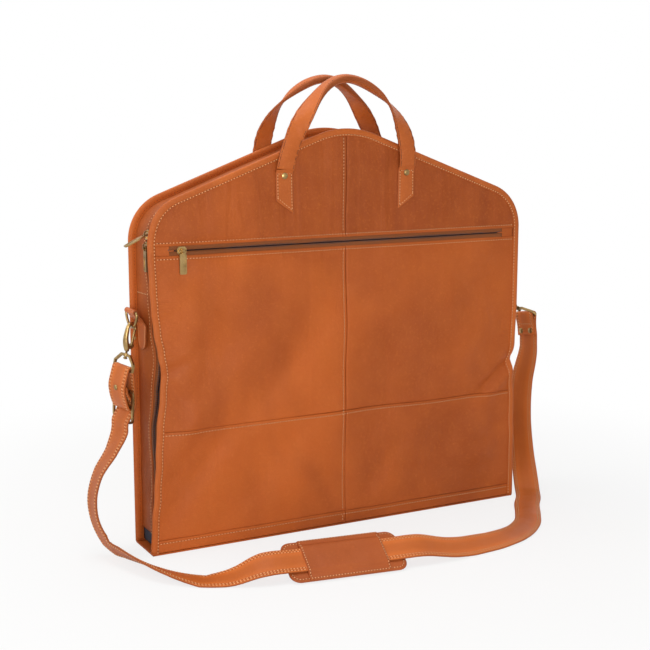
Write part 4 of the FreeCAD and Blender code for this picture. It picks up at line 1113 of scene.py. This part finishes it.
def makeRingTab(name, side, replaced):
    s = tabShape
    path = tabProfile()
    bm = bmesh.new()
    count = 16

    def spot(i, k):
        x, z = path[i]
        u = 2 * k / (count - 1) - 1
        u = math.sin(u * math.pi / 2) if i <= s["tongueSteps"] else u
        return Vector((side * x, s["y"] + u * tabHalf(z, i), z))
    sweep(bm, len(path), count, spot, closed=False)
    rim = bm.verts.layers.float.new("rim")
    for vert in bm.verts:
        vert[rim] = 1.0 if vert.is_boundary else 0.0
    if sum(f.normal.x for f in bm.faces) * side < 0:
        bmesh.ops.reverse_faces(bm, faces=bm.faces)
    piece = finishPiece(name, bm, "handle", "rear_half", [replaced],
                        slack=False, thick=s["thick"], offset=0.0)
    soft = piece.modifiers.new("soft", "BEVEL")
    soft.width = 0.0004
    soft.segments = 2
    soft.limit_method = "ANGLE"
    soft.angle_limit = math.radians(50)


makeRingTab("ringTabLeft", -1, "ring_tab_left")
makeRingTab("ringTabRight", 1, "ring_tab_right")
print("ring tabs")


# shoulder strap: one long double strap from the buckle over the left link, the floor and the right link
strapShape = {
    "width": 0.038, "thick": 0.003, "station": 0.0036,
    # origin in millimetres, x axis and y axis of the two links and the pad
    "left": ((-310.56, 11.5, 248.865), (0.96782, 0.25162, 0.0), (-0.25113, 0.96593, 0.06261)),
    "right": ((342.913, 11.5, 271.101), (-0.99384, -0.11081, 0.0), (0.10944, -0.98163, 0.1563)),
    "pad": ((-92.0, -198.0, 21.823), (0.99027, -0.13917, 0.0), (0.12053, 0.8576, 0.5)),
    "linkWrap": 3.86, "buckleWrap": 3.74, "buckleAt": (1.0, -49.5), "fold": 32.0, "ply": 1.65,
    "lift": 0.0002,           # the lowest edge stays clear of the floor
    "sway": 0.0016, "cup": 0.0012, "narrow": 0.02, "pucker": 0.00022,
}
halfWidth, halfThick = strapShape["width"] / 2, strapShape["thick"] / 2


def frameOf(facts, scale=1.0):
    origin, x, y = (Vector(part) for part in facts)
    return Matrix.Translation(origin * scale) @ Matrix((x, y, x.cross(y))).transposed().to_4x4()


def lying(x, y, tilt, lift=0.0, heading=(1, 0)):
    a = math.radians(tilt)
    side = Vector((-heading[1], heading[0], 0)).normalized()
    z = strapShape["thick"] * 500 * math.cos(a) + strapShape["width"] * 500 * abs(math.sin(a)) + lift
    return Vector((x, y, z)), side * math.cos(a) + up * math.sin(a)


def arcMarks(centre, r, start, end, count):
    angles = [math.radians(start + (end - start) * i / count) for i in range(count + 1)]
    return [(centre[0] + r * math.cos(a), centre[1] + r * math.sin(a)) for a in angles]


def strapMarks():
    s = strapShape
    left, right, pad = (frameOf(s[key]) for key in ("left", "right", "pad"))
    loop = [(-6.3, -21.5), (-4.4, -30.5), (-0.6, -37), (3.6, -43.5)]
    loop += arcMarks(s["buckleAt"], s["buckleWrap"], 350, 190, 4)
    loop += [(-7.6, -36), (-9.6, -23.5), (-7.2, -11.5)]
    loop += arcMarks((0, 0), s["linkWrap"], 180, 0, 6)
    loop += [(5.4, -13), (7.44, -29.5), (8.04, -49.5), (2.6, -60.5), (-3.6, -70.5), (-4.2, -83.5)]
    rear = left.to_3x3() @ Vector((0, 1, 0))
    marks = [(left @ Vector((x, 0, z)), rear) for x, z in loop]
    marks += [
        (Vector((-328, 11, 142)), Vector((-0.1, 1, -0.04))),
        (Vector((-350, 10, 109)), Vector((0.02, 1, -0.06))),
        (Vector((-359, 8, 73)), Vector((0, 1, -0.16))),
        (Vector((-356, 3, 44)), Vector((0.06, 0.93, -0.36))),
        (Vector((-348, -6, 24)), Vector((0.14, 0.8, -0.58))),
        (Vector((-340, -21, 14)), Vector((0.5, 0.5, -0.72))),
        lying(-332, -43, -43, heading=(0.2, -1)),
        lying(-318, -82, -32, heading=(0.35, -1)),
        lying(-298, -121, -18, heading=(0.65, -1)),
        lying(-269, -150, 0, heading=(1, -0.7)),
        lying(-236, -168, 16, lift=1, heading=(1, -0.45)),
    ]
    padUp = pad.to_3x3() @ Vector((0, 1, 0))
    marks += [(pad @ Vector((x, 0, 0)), padUp) for x in (-108, -60, 0, 60, 108)]
    marks += [
        lying(62, -216, 26, lift=3),
        lying(106, -213, 22, heading=(1, 0.1)),
        lying(150, -205, 16, heading=(1, 0.25)),
        lying(192, -187, 10, heading=(1, 0.6)),
        lying(228, -158, 5, heading=(0.8, 0.8)),
        lying(256, -122, 2, heading=(0.6, 0.9)),
        lying(281, -86, 0, heading=(0.55, 0.8)),
        lying(309, -52, 0, heading=(0.6, 0.8)),
        (Vector((323, -30, 5.0)), Vector((-0.78, 0.62, 0))),
        (Vector((331, -14, 21)), Vector((-0.68, 0.73, 0))),
        (Vector((336, 1, 56)), Vector((-0.48, 0.88, 0))),
        (Vector((337, 10, 106)), Vector((-0.38, 0.92, 0))),
        (Vector((339, 12, 165)), Vector((-0.36, 0.93, 0))),
    ]
    foldSide = right.to_3x3() @ Vector((0, -1, 0))
    fold, ply = s["fold"], s["ply"]
    folded = [(0, -fold - 16), (-0.6, -fold - 10), (-ply, -fold - 2), (-ply, -18), (-2.3, -11), (-3.3, -5)]
    folded += arcMarks((0, 0), s["linkWrap"], 180, 0, 6)
    folded += [(3.3, -5), (2.3, -11), (ply, -18), (ply, -fold + 6), (ply, -fold)]
    marks += [(right @ Vector((x, 0, z)), foldSide) for x, z in folded]
    return [(point * mm, side.normalized()) for point, side in marks]


def strapLine():
    marks = strapMarks()
    points = [mark[0] for mark in marks]
    gaps = [(b - a).length for a, b in zip(points, points[1:])]
    slopes = []
    for i, point in enumerate(points):
        if i == 0:
            slopes.append((points[1] - point) / gaps[0])
        elif i == len(points) - 1:
            slopes.append((point - points[-2]) / gaps[-1])
        else:
            before, after = gaps[i - 1], gaps[i]
            first, second = (point - points[i - 1]) / before, (points[i + 1] - point) / after
            slopes.append((first * after + second * before) / (before + after))
    line, travelled = [], 0.0
    for i, gap in enumerate(gaps):
        parts = max(2, round(gap / strapShape["station"]))
        for j in range(parts + (i == len(gaps) - 1)):
            t = j / parts
            a, b = 2 * t ** 3 - 3 * t ** 2 + 1, t ** 3 - 2 * t ** 2 + t
            c, d = -2 * t ** 3 + 3 * t ** 2, t ** 3 - t ** 2
            here = points[i] * a + slopes[i] * b * gap + points[i + 1] * c + slopes[i + 1] * d * gap
            side = marks[i][1].lerp(marks[i + 1][1], t)
            line.append([here, side, travelled + gap * t])
        travelled += gap
    made = []
    for i, (here, side, far) in enumerate(line):
        along = (line[min(i + 1, len(line) - 1)][0] - line[max(i - 1, 0)][0]).normalized()
        side = (side - along * side.dot(along)).normalized()
        normal = along.cross(side).normalized()
        made.append([here, side, normal, far])
    return made


line = strapLine()            # stations of place, side, normal, distance and how free the strap is there
strapEnd = line[-1][3]
padMiddle = Vector(strapShape["pad"][0]) * mm
for station in line:
    here, side, normal, far = station
    free = smooth(far, 0.20, 0.28) * (1 - smooth(far, strapEnd - 0.26, strapEnd - 0.14))
    free *= smooth((here - padMiddle).length, 0.10, 0.13)
    here += normal * wobble(far * 13, 1.7, 0) * strapShape["sway"] * free
    here.z = max(here.z, abs(side.z) * halfWidth + abs(normal.z) * halfThick)
    station.append(free)


def onStrap(station, u, v, lift, pucker=0.0):
    here, side, normal, far, free = station
    narrow = 1 - strapShape["narrow"] * free * (0.5 + 0.5 * wobble(far * 30, 5, 2))
    cup = strapShape["cup"] * free * wobble(far * 9, 3, 8) * (u * u - 0.3)
    point = here + side * (u * halfWidth * narrow) + normal * (v * halfThick + cup + pucker)
    return Vector((point.x, point.y, max(point.z, lift)))


def strapSpot(i, k):
    u, v = strapRing[k]
    pucker = strapShape["pucker"] * wobble(line[i][3] * 260, u * 3, 1) * smooth(abs(u), 0.5, 0.9)
    return onStrap(line[i], u, v, strapShape["lift"], pucker)


bm = bmesh.new()
sweep(bm, len(line), len(strapRing), strapSpot)
markRing(bm, strapRing)
finishPiece("shoulderStrap", bm, "strap", "strap",
            ["strap_adjusting_loop", "strap_left_drop", "strap_front_left", "strap_under_pad",
             "strap_front_right", "strap_right_drop", "strap_right_fold"], slack=False)
print("shoulder strap", round(strapEnd, 3), "m")


# shoulder pad: a soft base with a stitched edge, and the sleeve that the strap slides in
padShape = {
    "length": 0.160, "width": 0.066, "corner": 0.014, "thick": 0.004,
    "seat": 0.0018,           # the base's top lies this far under the strap's middle
    "stitchIn": 0.0042, "groove": 0.0005,
    "slack": 0.0006,
}
sleeveShape = {
    "length": 0.112, "width": 0.0664, "corner": 0.0022, "thick": 0.0022,
    "wall": 0.0010,
    "room": 0.0193,           # half the width that the strap slides in
    "stitchIn": 0.0026, "groove": 0.00035,
    "crease": 0.0007, "drop": 0.0012,
}
padPlace = frameOf(strapShape["pad"], mm)


def bowed(part):              # more rows of the mesh near both edges
    return math.sin(part * math.pi / 2) * 0.35 + part * 0.65


def padGrid(bm, shape, nx, ny, height):
    halfX, halfY, r = shape["length"] / 2, shape["width"] / 2, shape["corner"]
    made = bmesh.ops.create_grid(bm, x_segments=nx, y_segments=ny, size=0.5)["verts"]
    for vert in made:
        x, y = bowed(2 * vert.co.x) * halfX, bowed(2 * vert.co.y) * halfY
        cx, cy = max(abs(x) - (halfX - r), 0), max(abs(y) - (halfY - r), 0)
        far = max(cx, cy)
        reach = math.hypot(cx, cy)
        if reach > 1e-9:
            x = math.copysign(halfX - r + cx * far / reach, x) if cx else x
            y = math.copysign(halfY - r + cy * far / reach, y) if cy else y
        gap = r - far if reach > 1e-9 else min(halfX - abs(x), halfY - abs(y))
        vert.co = Vector((x, y, height(x, y, gap)))


def padTop(x, y, gap):
    s = padShape
    crown = smooth(gap, 0.0, 0.0022)
    groove = s["groove"] * bell(gap, s["stitchIn"], 0.001)
    soft = s["slack"] * wobble(x * 40, y * 55, 3) * smooth(gap, 0.004, 0.012)
    return -s["seat"] - s["thick"] * 0.5 + s["thick"] * 0.5 * crown - groove * crown - abs(soft)


def padUnder(x, y, gap):
    s = padShape
    return -s["seat"] - s["thick"] * 0.5 - s["thick"] * 0.5 * smooth(gap, 0.0, 0.003)


bm = bmesh.new()
for height in (padTop, padUnder):
    padGrid(bm, padShape, 84, 40, height)
bmesh.ops.remove_doubles(bm, verts=bm.verts, dist=0.00005)
bmesh.ops.recalc_face_normals(bm, faces=bm.faces)
bm.transform(padPlace)
padBase = finishPiece("padBase", bm, "pad", "pad", ["pad_base"], slack=False)


def sleeveTop(x, y, gap):
    s, seat = sleeveShape, padShape["seat"]
    over = 1 - smooth(abs(y), s["room"] - 0.001, s["room"] + 0.006)
    body = -seat + s["thick"] + over * (2 * seat)
    side = smooth(gap, 0.0, 0.0012)
    groove = s["groove"] * bell(gap, s["stitchIn"], 0.0008)
    crease = s["crease"] * wobble(x * 60, y * 30, 5) * smooth(gap, 0.003, 0.01)
    drop = s["drop"] * smooth(abs(y), s["width"] / 2 - 0.0030, s["width"] / 2)
    return body * side + (-seat + 0.0002) * (1 - side) - groove - max(crease, 0) - drop


bm = bmesh.new()
padGrid(bm, sleeveShape, 90, 60, sleeveTop)
bm.transform(padPlace)
padSleeve = finishPiece("padSleeve", bm, "pad", "pad", ["pad_sleeve"],
                        slack=False, thick=sleeveShape["wall"])
print("pad")


# rings, snap hooks and rivets in smooth cast brass
ringShape = {"bow": 0.02075, "corner": 0.004}
hookShape = {
    # origin in millimetres, x axis and y axis
    "left": ((-297.375, 11.5, 301.746), (0.93723, 0.25882, -0.23368), (-0.25113, 0.96593, 0.06261)),
    "right": ((298.27, 11.5, 302.361), (-0.56304, -0.19081, -0.8041), (0.10944, -0.98163, 0.1563)),
    "bend": 0.006,            # radius of the crook, to the wire's middle
    # x, z, half width and half depth down the shank, collar, pin and swivel, in millimetres
    "shank": [(-6.0, -3, 3.0, 2.9), (-6.0, -8, 3.3, 3.1), (-5.9, -12, 3.6, 3.3), (-5.3, -16, 3.9, 3.6),
              (-4.0, -20, 4.2, 3.9), (-2.3, -24, 4.3, 4.0), (-0.8, -27.5, 3.9, 3.7), (-0.2, -29.6, 3.2, 3.1),
              (0, -30.6, 2.9, 2.9), (0, -31.0, 2.4, 2.4), (0, -31.2, 1.5, 1.5), (0, -34.5, 1.5, 1.5),
              (0, -39.0, 1.5, 1.5), (0, -39.2, 2.3, 2.3), (0, -40.0, 3.0, 3.0), (0, -41.0, 2.7, 2.7),
              (0, -41.7, 1.6, 1.6), (0, -41.9, 0.5, 0.5)],
    "cheek": {"x": 0.0054, "z": -0.023, "y": 0.0022, "radius": 0.0027, "thick": 0.0012},
    "arm": {"x": 0.0022, "z": -0.0252, "length": 0.0062, "height": 0.0046},
}
rivetShape = {                # each cap's radius and height
    "handle": (0.0044, 0.0019),
    "strap": (0.0036, 0.0016),
    "fold": (0.0043, 0.0017),
    "profile": ((1.0, -0.1), (1.0, 0.18), (0.965, 0.34), (0.90, 0.42), (0.86, 0.44),
                (0.70, 0.74), (0.45, 0.93), (0.2, 0.995), (0.0, 1.0)),
}


def tube(bm, stations, side, sides=16, closed=False):
    side = Vector(side)

    def spot(i, k):
        here, wide, deep = stations[i]
        before = stations[i - 1][0] if i or closed else here
        after = stations[(i + 1) % len(stations)][0] if closed or i + 1 < len(stations) else here
        if closed and i == 0:
            before = stations[-2][0]
        if closed and i == len(stations) - 1:
            after = stations[1][0]
        normal = (after - before).normalized().cross(side)
        a = math.tau * k / sides
        return here + side * (wide * math.cos(a)) + normal * (deep * math.sin(a))
    sweep(bm, len(stations), sides, spot, capped=not closed)
    if closed:
        bmesh.ops.remove_doubles(bm, verts=bm.verts, dist=0.00002)


def ringStations():
    bow, corner, wire = ringShape["bow"], ringShape["corner"], tabShape["ringWire"]
    spots = [(bow * math.cos(math.radians(a)), -bow * math.sin(math.radians(a))) for a in range(12, 169, 4)]
    a, b, c = spots[-1], (-bow, 0.0), (-bow + corner, 0.0)
    for i in range(1, 7):     # a rounded corner between bow and bar
        t = i / 7
        spots.append(tuple((1 - t) ** 2 * a[n] + 2 * t * (1 - t) * b[n] + t * t * c[n] for n in (0, 1)))
    half = [(0.0, 0.0)] + [(bow - corner - corner * (3 - i), 0.0) for i in range(4)]
    mirrored = [(-y, z) for y, z in reversed(spots[-6:])]
    spots = half + mirrored + spots + [(-y, z) for y, z in reversed(half)]
    return [(Vector((0, y, z)), wire, wire) for y, z in spots]


def makeRing(name, side, body, replaced):
    bm = bmesh.new()
    tube(bm, ringStations(), (1, 0, 0), closed=True)
    bm.transform(Matrix.Translation((side * tabShape["ringX"], tabShape["y"], tabShape["z"])))
    bmesh.ops.recalc_face_normals(bm, faces=bm.faces)
    finishPiece(name, bm, "brass", body, [replaced], slack=False)


def hookStations():
    bend = hookShape["bend"]
    point = ((-0.0021, 0.0009), (-0.0019, 0.0017), (-0.0012, 0.0022))
    stations = [((bend, z), wide, wide) for z, wide in point]
    for i in range(17):
        a = math.pi * i / 16
        grow = 0.0021 + 0.0005 * i / 16
        stations.append(((bend * math.cos(a), bend * math.sin(a)), grow, grow - 0.0001))
    stations += [((x * mm, z * mm), wide * mm, deep * mm) for x, z, wide, deep in hookShape["shank"]]
    return [(Vector((x, 0, z)), wide, deep) for (x, z), wide, deep in stations]


def makeHook(name, key, body, replaced):
    bm = bmesh.new()
    tube(bm, hookStations(), (0, 1, 0), 20)
    for face in (-1, 1):      # cheeks that hold the gate's pin
        cheek = bmesh.new()
        disc, arm = hookShape["cheek"], hookShape["arm"]
        y, r, thick = face * disc["y"], disc["radius"], disc["thick"]
        turned = Matrix.Translation((disc["x"], y, disc["z"])) @ Matrix.Rotation(math.pi / 2, 4, "X")
        bmesh.ops.create_cone(cheek, cap_ends=True, segments=24, radius1=r, radius2=r, depth=thick,
                              matrix=turned)
        block = Matrix.Diagonal((arm["length"], thick, arm["height"], 1))
        block = Matrix.Translation((arm["x"], y, arm["z"])) @ block
        bmesh.ops.create_cube(cheek, size=1.0, matrix=block)
        rims = [edge for edge in cheek.edges if edge.calc_face_angle(0) > 0.9]
        bmesh.ops.bevel(cheek, geom=rims, offset=0.0003, affect="EDGES", segments=2, profile=0.5, material=-1)
        joinInto(bm, cheek)
    bm.transform(frameOf(hookShape[key], mm))
    bmesh.ops.recalc_face_normals(bm, faces=bm.faces)
    finishPiece(name, bm, "brass", body, [replaced], slack=False)


def addCap(bm, kind, place, out):
    r, height = rivetShape[kind]
    out = Vector(out).normalized()
    side = out.orthogonal().normalized()
    cap = bmesh.new()
    verts = [cap.verts.new(place + side * (r * a) + out * (height * b)) for a, b in rivetShape["profile"]]
    edges = [cap.edges.new(pair) for pair in zip(verts, verts[1:])]
    bmesh.ops.spin(cap, geom=verts + edges, cent=place, axis=out, angle=math.tau, steps=28, use_merge=True)
    bmesh.ops.remove_doubles(cap, verts=cap.verts, dist=0.00001)
    bmesh.ops.holes_fill(cap, edges=cap.edges, sides=40)
    bmesh.ops.recalc_face_normals(cap, faces=cap.faces)
    joinInto(bm, cap)


makeRing("ringLeft", -1, "ring_left", "strap_ring_left")
makeRing("ringRight", 1, "ring_right", "strap_ring_right")
makeHook("hookLeft", "left", "hook_left", "snap_hook_left")
makeHook("hookRight", "right", "hook_right", "snap_hook_right")
for word, flip in (("front", 1), ("rear", -1)):
    low, high = corners(word + "_handle_rivets")
    face = high.y if flip > 0 else low.y
    bm = bmesh.new()
    for side in (-1, 1):
        place = Vector((side * handleShape["x"], face, (low.z + high.z) / 2))
        addCap(bm, "handle", place, (0, -flip, 0))
    finishPiece(word + "HandleRivets", bm, "brass", word + "_half", [word + "_handle_rivets"],
                slack=False)
bm = bmesh.new()
leftLink, rightLink = frameOf(strapShape["left"], mm), frameOf(strapShape["right"], mm)
addCap(bm, "strap", leftLink @ Vector((-0.01125, 0, -0.024)), leftLink.to_3x3() @ Vector((-1, 0, 0)))
for y in (-0.010, 0.010):
    addCap(bm, "fold", rightLink @ Vector((0.0032, y, -0.025)), rightLink.to_3x3() @ Vector((1, 0, 0)))
finishPiece("strapRivets", bm, "brass", "strap", ["strap_rivets"], slack=False)
print("rings, hooks and rivets")


# saddle stitching, one small bead for each stitch and a dark disc of painted shade for each hole
threadShape = {
    "pitch": 0.0044, "finePitch": 0.0040, "tonguePitch": 0.0030,
    "length": 0.0024, "width": 0.00132, "height": 0.00100,
    "hole": 0.00066, "holeLift": 0.00014,
    "batch": 60,
    "seamIn": 0.0045,         # from a seam to the row beside it
    "tongueIn": 0.0022,
    "crossZ": 0.347,          # where two lengths of gusset join
}


def addBatch(bm, places, hole):
    row = bmesh.new()
    for place in places:
        if hole:
            bmesh.ops.create_circle(row, cap_ends=True, segments=6, radius=threadShape["hole"], matrix=place)
        else:
            bmesh.ops.create_icosphere(row, subdivisions=1, radius=1.0, matrix=place)
    joinInto(bm, row)


def threadRow(bm, path, slack=True, pitch=None):
    s = threadShape
    pitch = pitch or s["pitch"]
    if slack:
        path = [(settle(point), normal) for point, normal in path]
    travelled, due, count = 0.0, pitch * 0.5, 0
    places = {False: [], True: []}
    for (a, first), (b, second) in zip(path, path[1:]):
        span = (b - a).length
        while span > 0 and due <= travelled + span:
            t = (due - travelled) / span
            along = (b - a).normalized()
            normal = first.lerp(second, t)
            normal = (normal - along * normal.dot(along)).normalized()
            side = normal.cross(along)
            hole = count % 2 == 1             # a bead, then a dark disc of painted shade for the hole that it comes from
            run = along if hole else (along + side * random.uniform(-0.10, 0.10)).normalized()
            turned = Matrix((run, normal.cross(run), normal)).transposed().to_4x4()
            grow = random.uniform(0.94, 1.05)
            if hole:
                turned = Matrix.Translation(a.lerp(b, t) + normal * s["holeLift"]) @ turned
            else:
                turned = Matrix.Translation(a.lerp(b, t)) @ turned
                bead = (s["length"] / 2 * grow, s["width"] / 2, s["height"] / 2, 1)
                turned = turned @ Matrix.Diagonal(bead)
            places[hole].append(turned)
            due += pitch / 2
            count += 1
        travelled += span
    for hole in (False, True):
        for i in range(0, len(places[hole]), s["batch"]):     # short, because one long mesh is slow to grow
            addBatch(bm, places[hole][i:i + s["batch"]], hole)


def finishThread(name, bm, body, material="thread"):
    piece = finishPiece(name, bm, material, body, slack=False)
    piece.data.materials.append(materials["darkThreadAndHoleShade"])
    for face in piece.data.polygons:          # only the discs of painted hole shade have six corners
        face.material_index = int(len(face.vertices) == 6)


def outlineRow(inset, y, normal=None, cut=0.0):       # without a normal, the row faces out of the outline
    path = [(place, out) for place, out in outlinePath(inset, 0.003) if place.x > 0 or place.y > cut]
    return [(Vector((place.x, y, place.y)), normal or Vector((out.x, 0, out.y))) for place, out in path]


def straightRow(start, end, normal, count):
    a, b = Vector(start), Vector(end)
    return [(a.lerp(b, i / count), Vector(normal)) for i in range(count + 1)]


frontFace = panelFace + panelShape["stitchSink"]
rearFace = bag["rear"] - bag["bindingThick"] - panelShape["stitchSink"]
toFront, toRear = Vector((0, -1, 0)), Vector((0, 1, 0))
wide = bag["half"] - 0.011
hemZ = corners("front_hem")[1].z
seamIn = threadShape["seamIn"]
lip, leftCut = gussetShape["lip"], gussetShape["leftCut"]
rowInset = {"face": 0.0085, "rim": 0.0072, "wall": 0.0100}       # rows that run round the outline
slotLow, slotHigh = pocketZip["z"] - 0.0105, pocketZip["z"] + 0.0105


def acrossRow(z, y, facing):
    return straightRow((-wide, y, z), (wide, y, z), facing, 140)


def upRow(x, y, low, high, facing, count):
    return straightRow((x, y, low), (x, y, high), facing, count)


bm = bmesh.new()
threadRow(bm, outlineRow(rowInset["face"], bag["front"] + 0.0001, toFront))
threadRow(bm, outlineRow(rowInset["rim"], bag["front"] + 0.0053, toRear))
threadRow(bm, outlineRow(rowInset["wall"], bag["zipPlane"] - lip - seamIn, cut=leftCut))
for z in (seamZ - seamIn, slotLow, slotHigh, hemZ - seamIn):
    threadRow(bm, acrossRow(z, frontFace, toFront))
for low, high, count in ((bag["foot"] + 0.003, hemZ - 0.006, 20), (hemZ + 0.003, slotLow - 0.004, 100),
                         (slotHigh + 0.004, bag["top"] - 0.011, 60)):
    threadRow(bm, upRow(-seamIn, frontFace, low, high, toFront, count))
finishThread("frontThread", bm, "front_half")

bm = bmesh.new()
threadRow(bm, outlineRow(rowInset["rim"], bag["rear"] - 0.0053, toFront))
finishThread("rearRimThread", bm, "rear_half", "darkThreadAndHoleShade")

bm = bmesh.new()
threadRow(bm, outlineRow(rowInset["face"], bag["rear"] - 0.0001, toRear))
threadRow(bm, outlineRow(rowInset["wall"], bag["zipPlane"] + lip + seamIn, cut=leftCut))
for z in (seamZ - seamIn, hemZ + seamIn):
    threadRow(bm, acrossRow(z, rearFace, toRear))
threadRow(bm, upRow(seamIn, rearFace, hemZ + 0.006, bag["top"] - 0.011, toRear, 140))
tabPath = tabProfile()
for side in (-1, 1):
    x, z = side * (bag["half"] - 0.0098), threadShape["crossZ"]
    outward = Vector((side, 0, 0))
    start, end = (x, bag["zipPlane"] + lip + 0.003, z), (x, bag["rear"] - 0.007, z)
    threadRow(bm, straightRow(start, end, outward, 20))
    for edge in (-1, 1):
        tongue = []
        for i in range(2, tabShape["tongueSteps"] + 1):
            px, pz = tabPath[i]
            half = max(tabHalf(pz, i) - threadShape["tongueIn"], 0.0004)
            skin = px + tabShape["thick"] / 2 - 0.0002
            tongue.append((Vector((side * skin, tabShape["y"] + edge * half, pz)), outward))
        threadRow(bm, tongue, slack=False, pitch=threadShape["tonguePitch"])
finishThread("rearThread", bm, "rear_half")


def handleEndRows(bm, flip):
    s = handleShape
    y = (panelFace - s["patch"] + 0.00015) * flip
    facing = toFront * flip
    for side in (-1, 1):
        inner, outer = s["x"] - s["width"] / 2 + s["rowIn"], s["x"] + s["width"] / 2 - s["rowIn"]
        top = s["stitchZ"] - 0.0052
        low = s["stitchZ"] - s["patchLength"] + 0.0030
        slant = s["point"] * (s["width"] - 2 * s["rowIn"]) / s["width"]
        corner = [(inner, top), (inner, low - slant - 0.0012), (outer, low + 0.0006), (outer, top)]
        for (x0, z0), (x1, z1) in zip(corner, corner[1:] + corner[:1]):
            path = straightRow((side * x0, y, z0), (side * x1, y, z1), facing, 12)
            threadRow(bm, path, pitch=threadShape["finePitch"])


def handleLoopRows(bm, flip):
    turned = Vector((flip, flip, 1))
    for faceSide, limit in ((1, 0.955), (-1, 0.90)):      # the rows end below the grip
        for edge in (-0.84, 0.84):
            for low, high in ((0.0, math.pi / 2), (math.pi / 2, math.pi)):
                path = []
                for i in range(121):
                    turn = low + (high - low) * i / 120
                    if not 0.012 <= math.sin(turn) <= limit:
                        continue
                    middle, across, normal, full = handleStation(turn)
                    width, thick, crease = handleSizes(turn, full)
                    lift = 0.82 + (0.62 - 0.82) * full
                    if faceSide > 0:
                        lift *= footSqueeze(turn)
                    point = middle + across * (edge * width / 2 * (1 - 0.1 * full))
                    point += normal * (faceSide * lift * thick / 2)
                    point += normal * (-handleShape["curl"] * edge * edge * crease)
                    path.append((point * turned, normal * faceSide * turned))
                threadRow(bm, path, slack=False, pitch=threadShape["finePitch"])


for word, flip in (("front", 1), ("rear", -1)):
    bm = bmesh.new()
    handleEndRows(bm, flip)
    finishThread(word + "HandleEndThread", bm, word + "_half")
    bm = bmesh.new()
    handleLoopRows(bm, flip)
    finishThread(word + "HandleThread", bm, word + "_handle", "darkThreadAndHoleShade")

bm = bmesh.new()
for faceSide in (-1, 1):
    for edge in (-0.86, -0.71, 0.71, 0.86):
        rows = []
        for station in line:
            if 0.004 < station[3] < strapEnd - 0.004:
                rows.append((onStrap(station, edge, faceSide * 0.95, 0.0006), station[2] * faceSide))
        threadRow(bm, rows, slack=False)
reach = 0.0145                # the row that closes the right fold: half length, and depth under the link
for side in (1, -1):
    a, b = (rightLink @ Vector((side * 0.0035, y, -reach)) for y in (-reach, reach))
    threadRow(bm, straightRow(a, b, rightLink.to_3x3() @ Vector((side, 0, 0)), 10), slack=False)
finishThread("strapThread", bm, "strap")


def roundedLoop(shape, r, step=0.002):
    halfX, halfY = (shape[key] / 2 - shape["stitchIn"] for key in ("length", "width"))
    spots = []
    for cx, cy, start in ((1, 1, 0), (-1, 1, 90), (-1, -1, 180), (1, -1, 270)):
        for i in range(9):
            a = math.radians(start + 90 * i / 8)
            spots.append(Vector((cx * (halfX - r) + r * math.cos(a), cy * (halfY - r) + r * math.sin(a), 0)))
    spots.append(spots[0])
    dense = []
    for a, b in zip(spots, spots[1:]):
        parts = max(1, round((b - a).length / step))
        dense += [a.lerp(b, i / parts) for i in range(parts)]
    return dense + [spots[0]]


bm = bmesh.new()
facing = padPlace.to_3x3() @ up
for shape, r, height in ((padShape, 0.010, padTop), (sleeveShape, 0.0012, sleeveTop)):
    path = []
    for spot in roundedLoop(shape, r):
        spot.z = height(spot.x, spot.y, shape["stitchIn"]) + 0.0001
        path.append((padPlace @ spot, facing))
    threadRow(bm, path, slack=False, pitch=threadShape["finePitch"])
finishThread("padThread", bm, "pad")
print("stitching")


# pale floor, and a white background that only the camera and gloss see
floorShape = {
    "size": 9.0,
    "color": (0.86, 0.86, 0.85, 1.0), "cloud": (0.8, 0.8, 0.8, 1),
    "fade": (0.36, 0.95),     # the shadow's reach from the middle of the bag
    "sky": (1, 0.99, 0.97, 1),
}
pureWhite = (1, 1, 1, 1)
floorMesh = bmesh.new()
bmesh.ops.create_grid(floorMesh, x_segments=2, y_segments=2, size=floorShape["size"])
floorData = bpy.data.meshes.new("floor")
floorMesh.to_mesh(floorData)
floorMesh.free()
floor = bpy.data.objects.new("floor", floorData)
bpy.context.scene.collection.objects.link(floor)
floorPaint = Paint("paleFloor")
floorGrain = floorPaint.noise(3.0, 3, 0.5).step(0.3, 0.7)
floorColor = floorPaint.mix(floorGrain * 0.04, floorShape["color"], floorShape["cloud"])
floorPaint.set(Base_Color=floorColor, Roughness=0.9, Specular_IOR_Level=0.1)
glow = floorPaint.node("ShaderNodeEmission", {}, {"Color": pureWhite, "Strength": 1.0})
seen, glossy = floorPaint.lightPath()
far = floorPaint.node("ShaderNodeVectorMath", {"operation": "LENGTH"}, {0: floorPaint.place}, "Value")
away = far.step(*floorShape["fade"], 0.78, 1.0)
plain = floorPaint.output("Principled BSDF")
blended = floorPaint.node("ShaderNodeMixShader", {}, {0: away * (seen + glossy * 0.5), 1: plain, 2: glow})
floorPaint.fill(floorPaint.tree.nodes["Material Output"].inputs["Surface"], blended)
floorData.materials.append(floorPaint.material)

world = bpy.data.worlds.new("studio")
bpy.context.scene.world = world
sky = NodeTree(world)
softLight = sky.output("Background")
sky.fill(softLight.socket.node.inputs["Color"], floorShape["sky"])
sky.fill(softLight.socket.node.inputs["Strength"], studio["world"])
whiteBack = sky.node("ShaderNodeBackground", {}, {"Color": pureWhite, "Strength": 1.0})
seen, glossy = sky.lightPath()
choice = sky.node("ShaderNodeMixShader", {}, {0: seen.math("MAXIMUM", glossy), 1: softLight, 2: whiteBack})
sky.fill(sky.tree.nodes["World Output"].inputs["Surface"], choice)
print("floor and world")

bpy.context.view_layer.update()
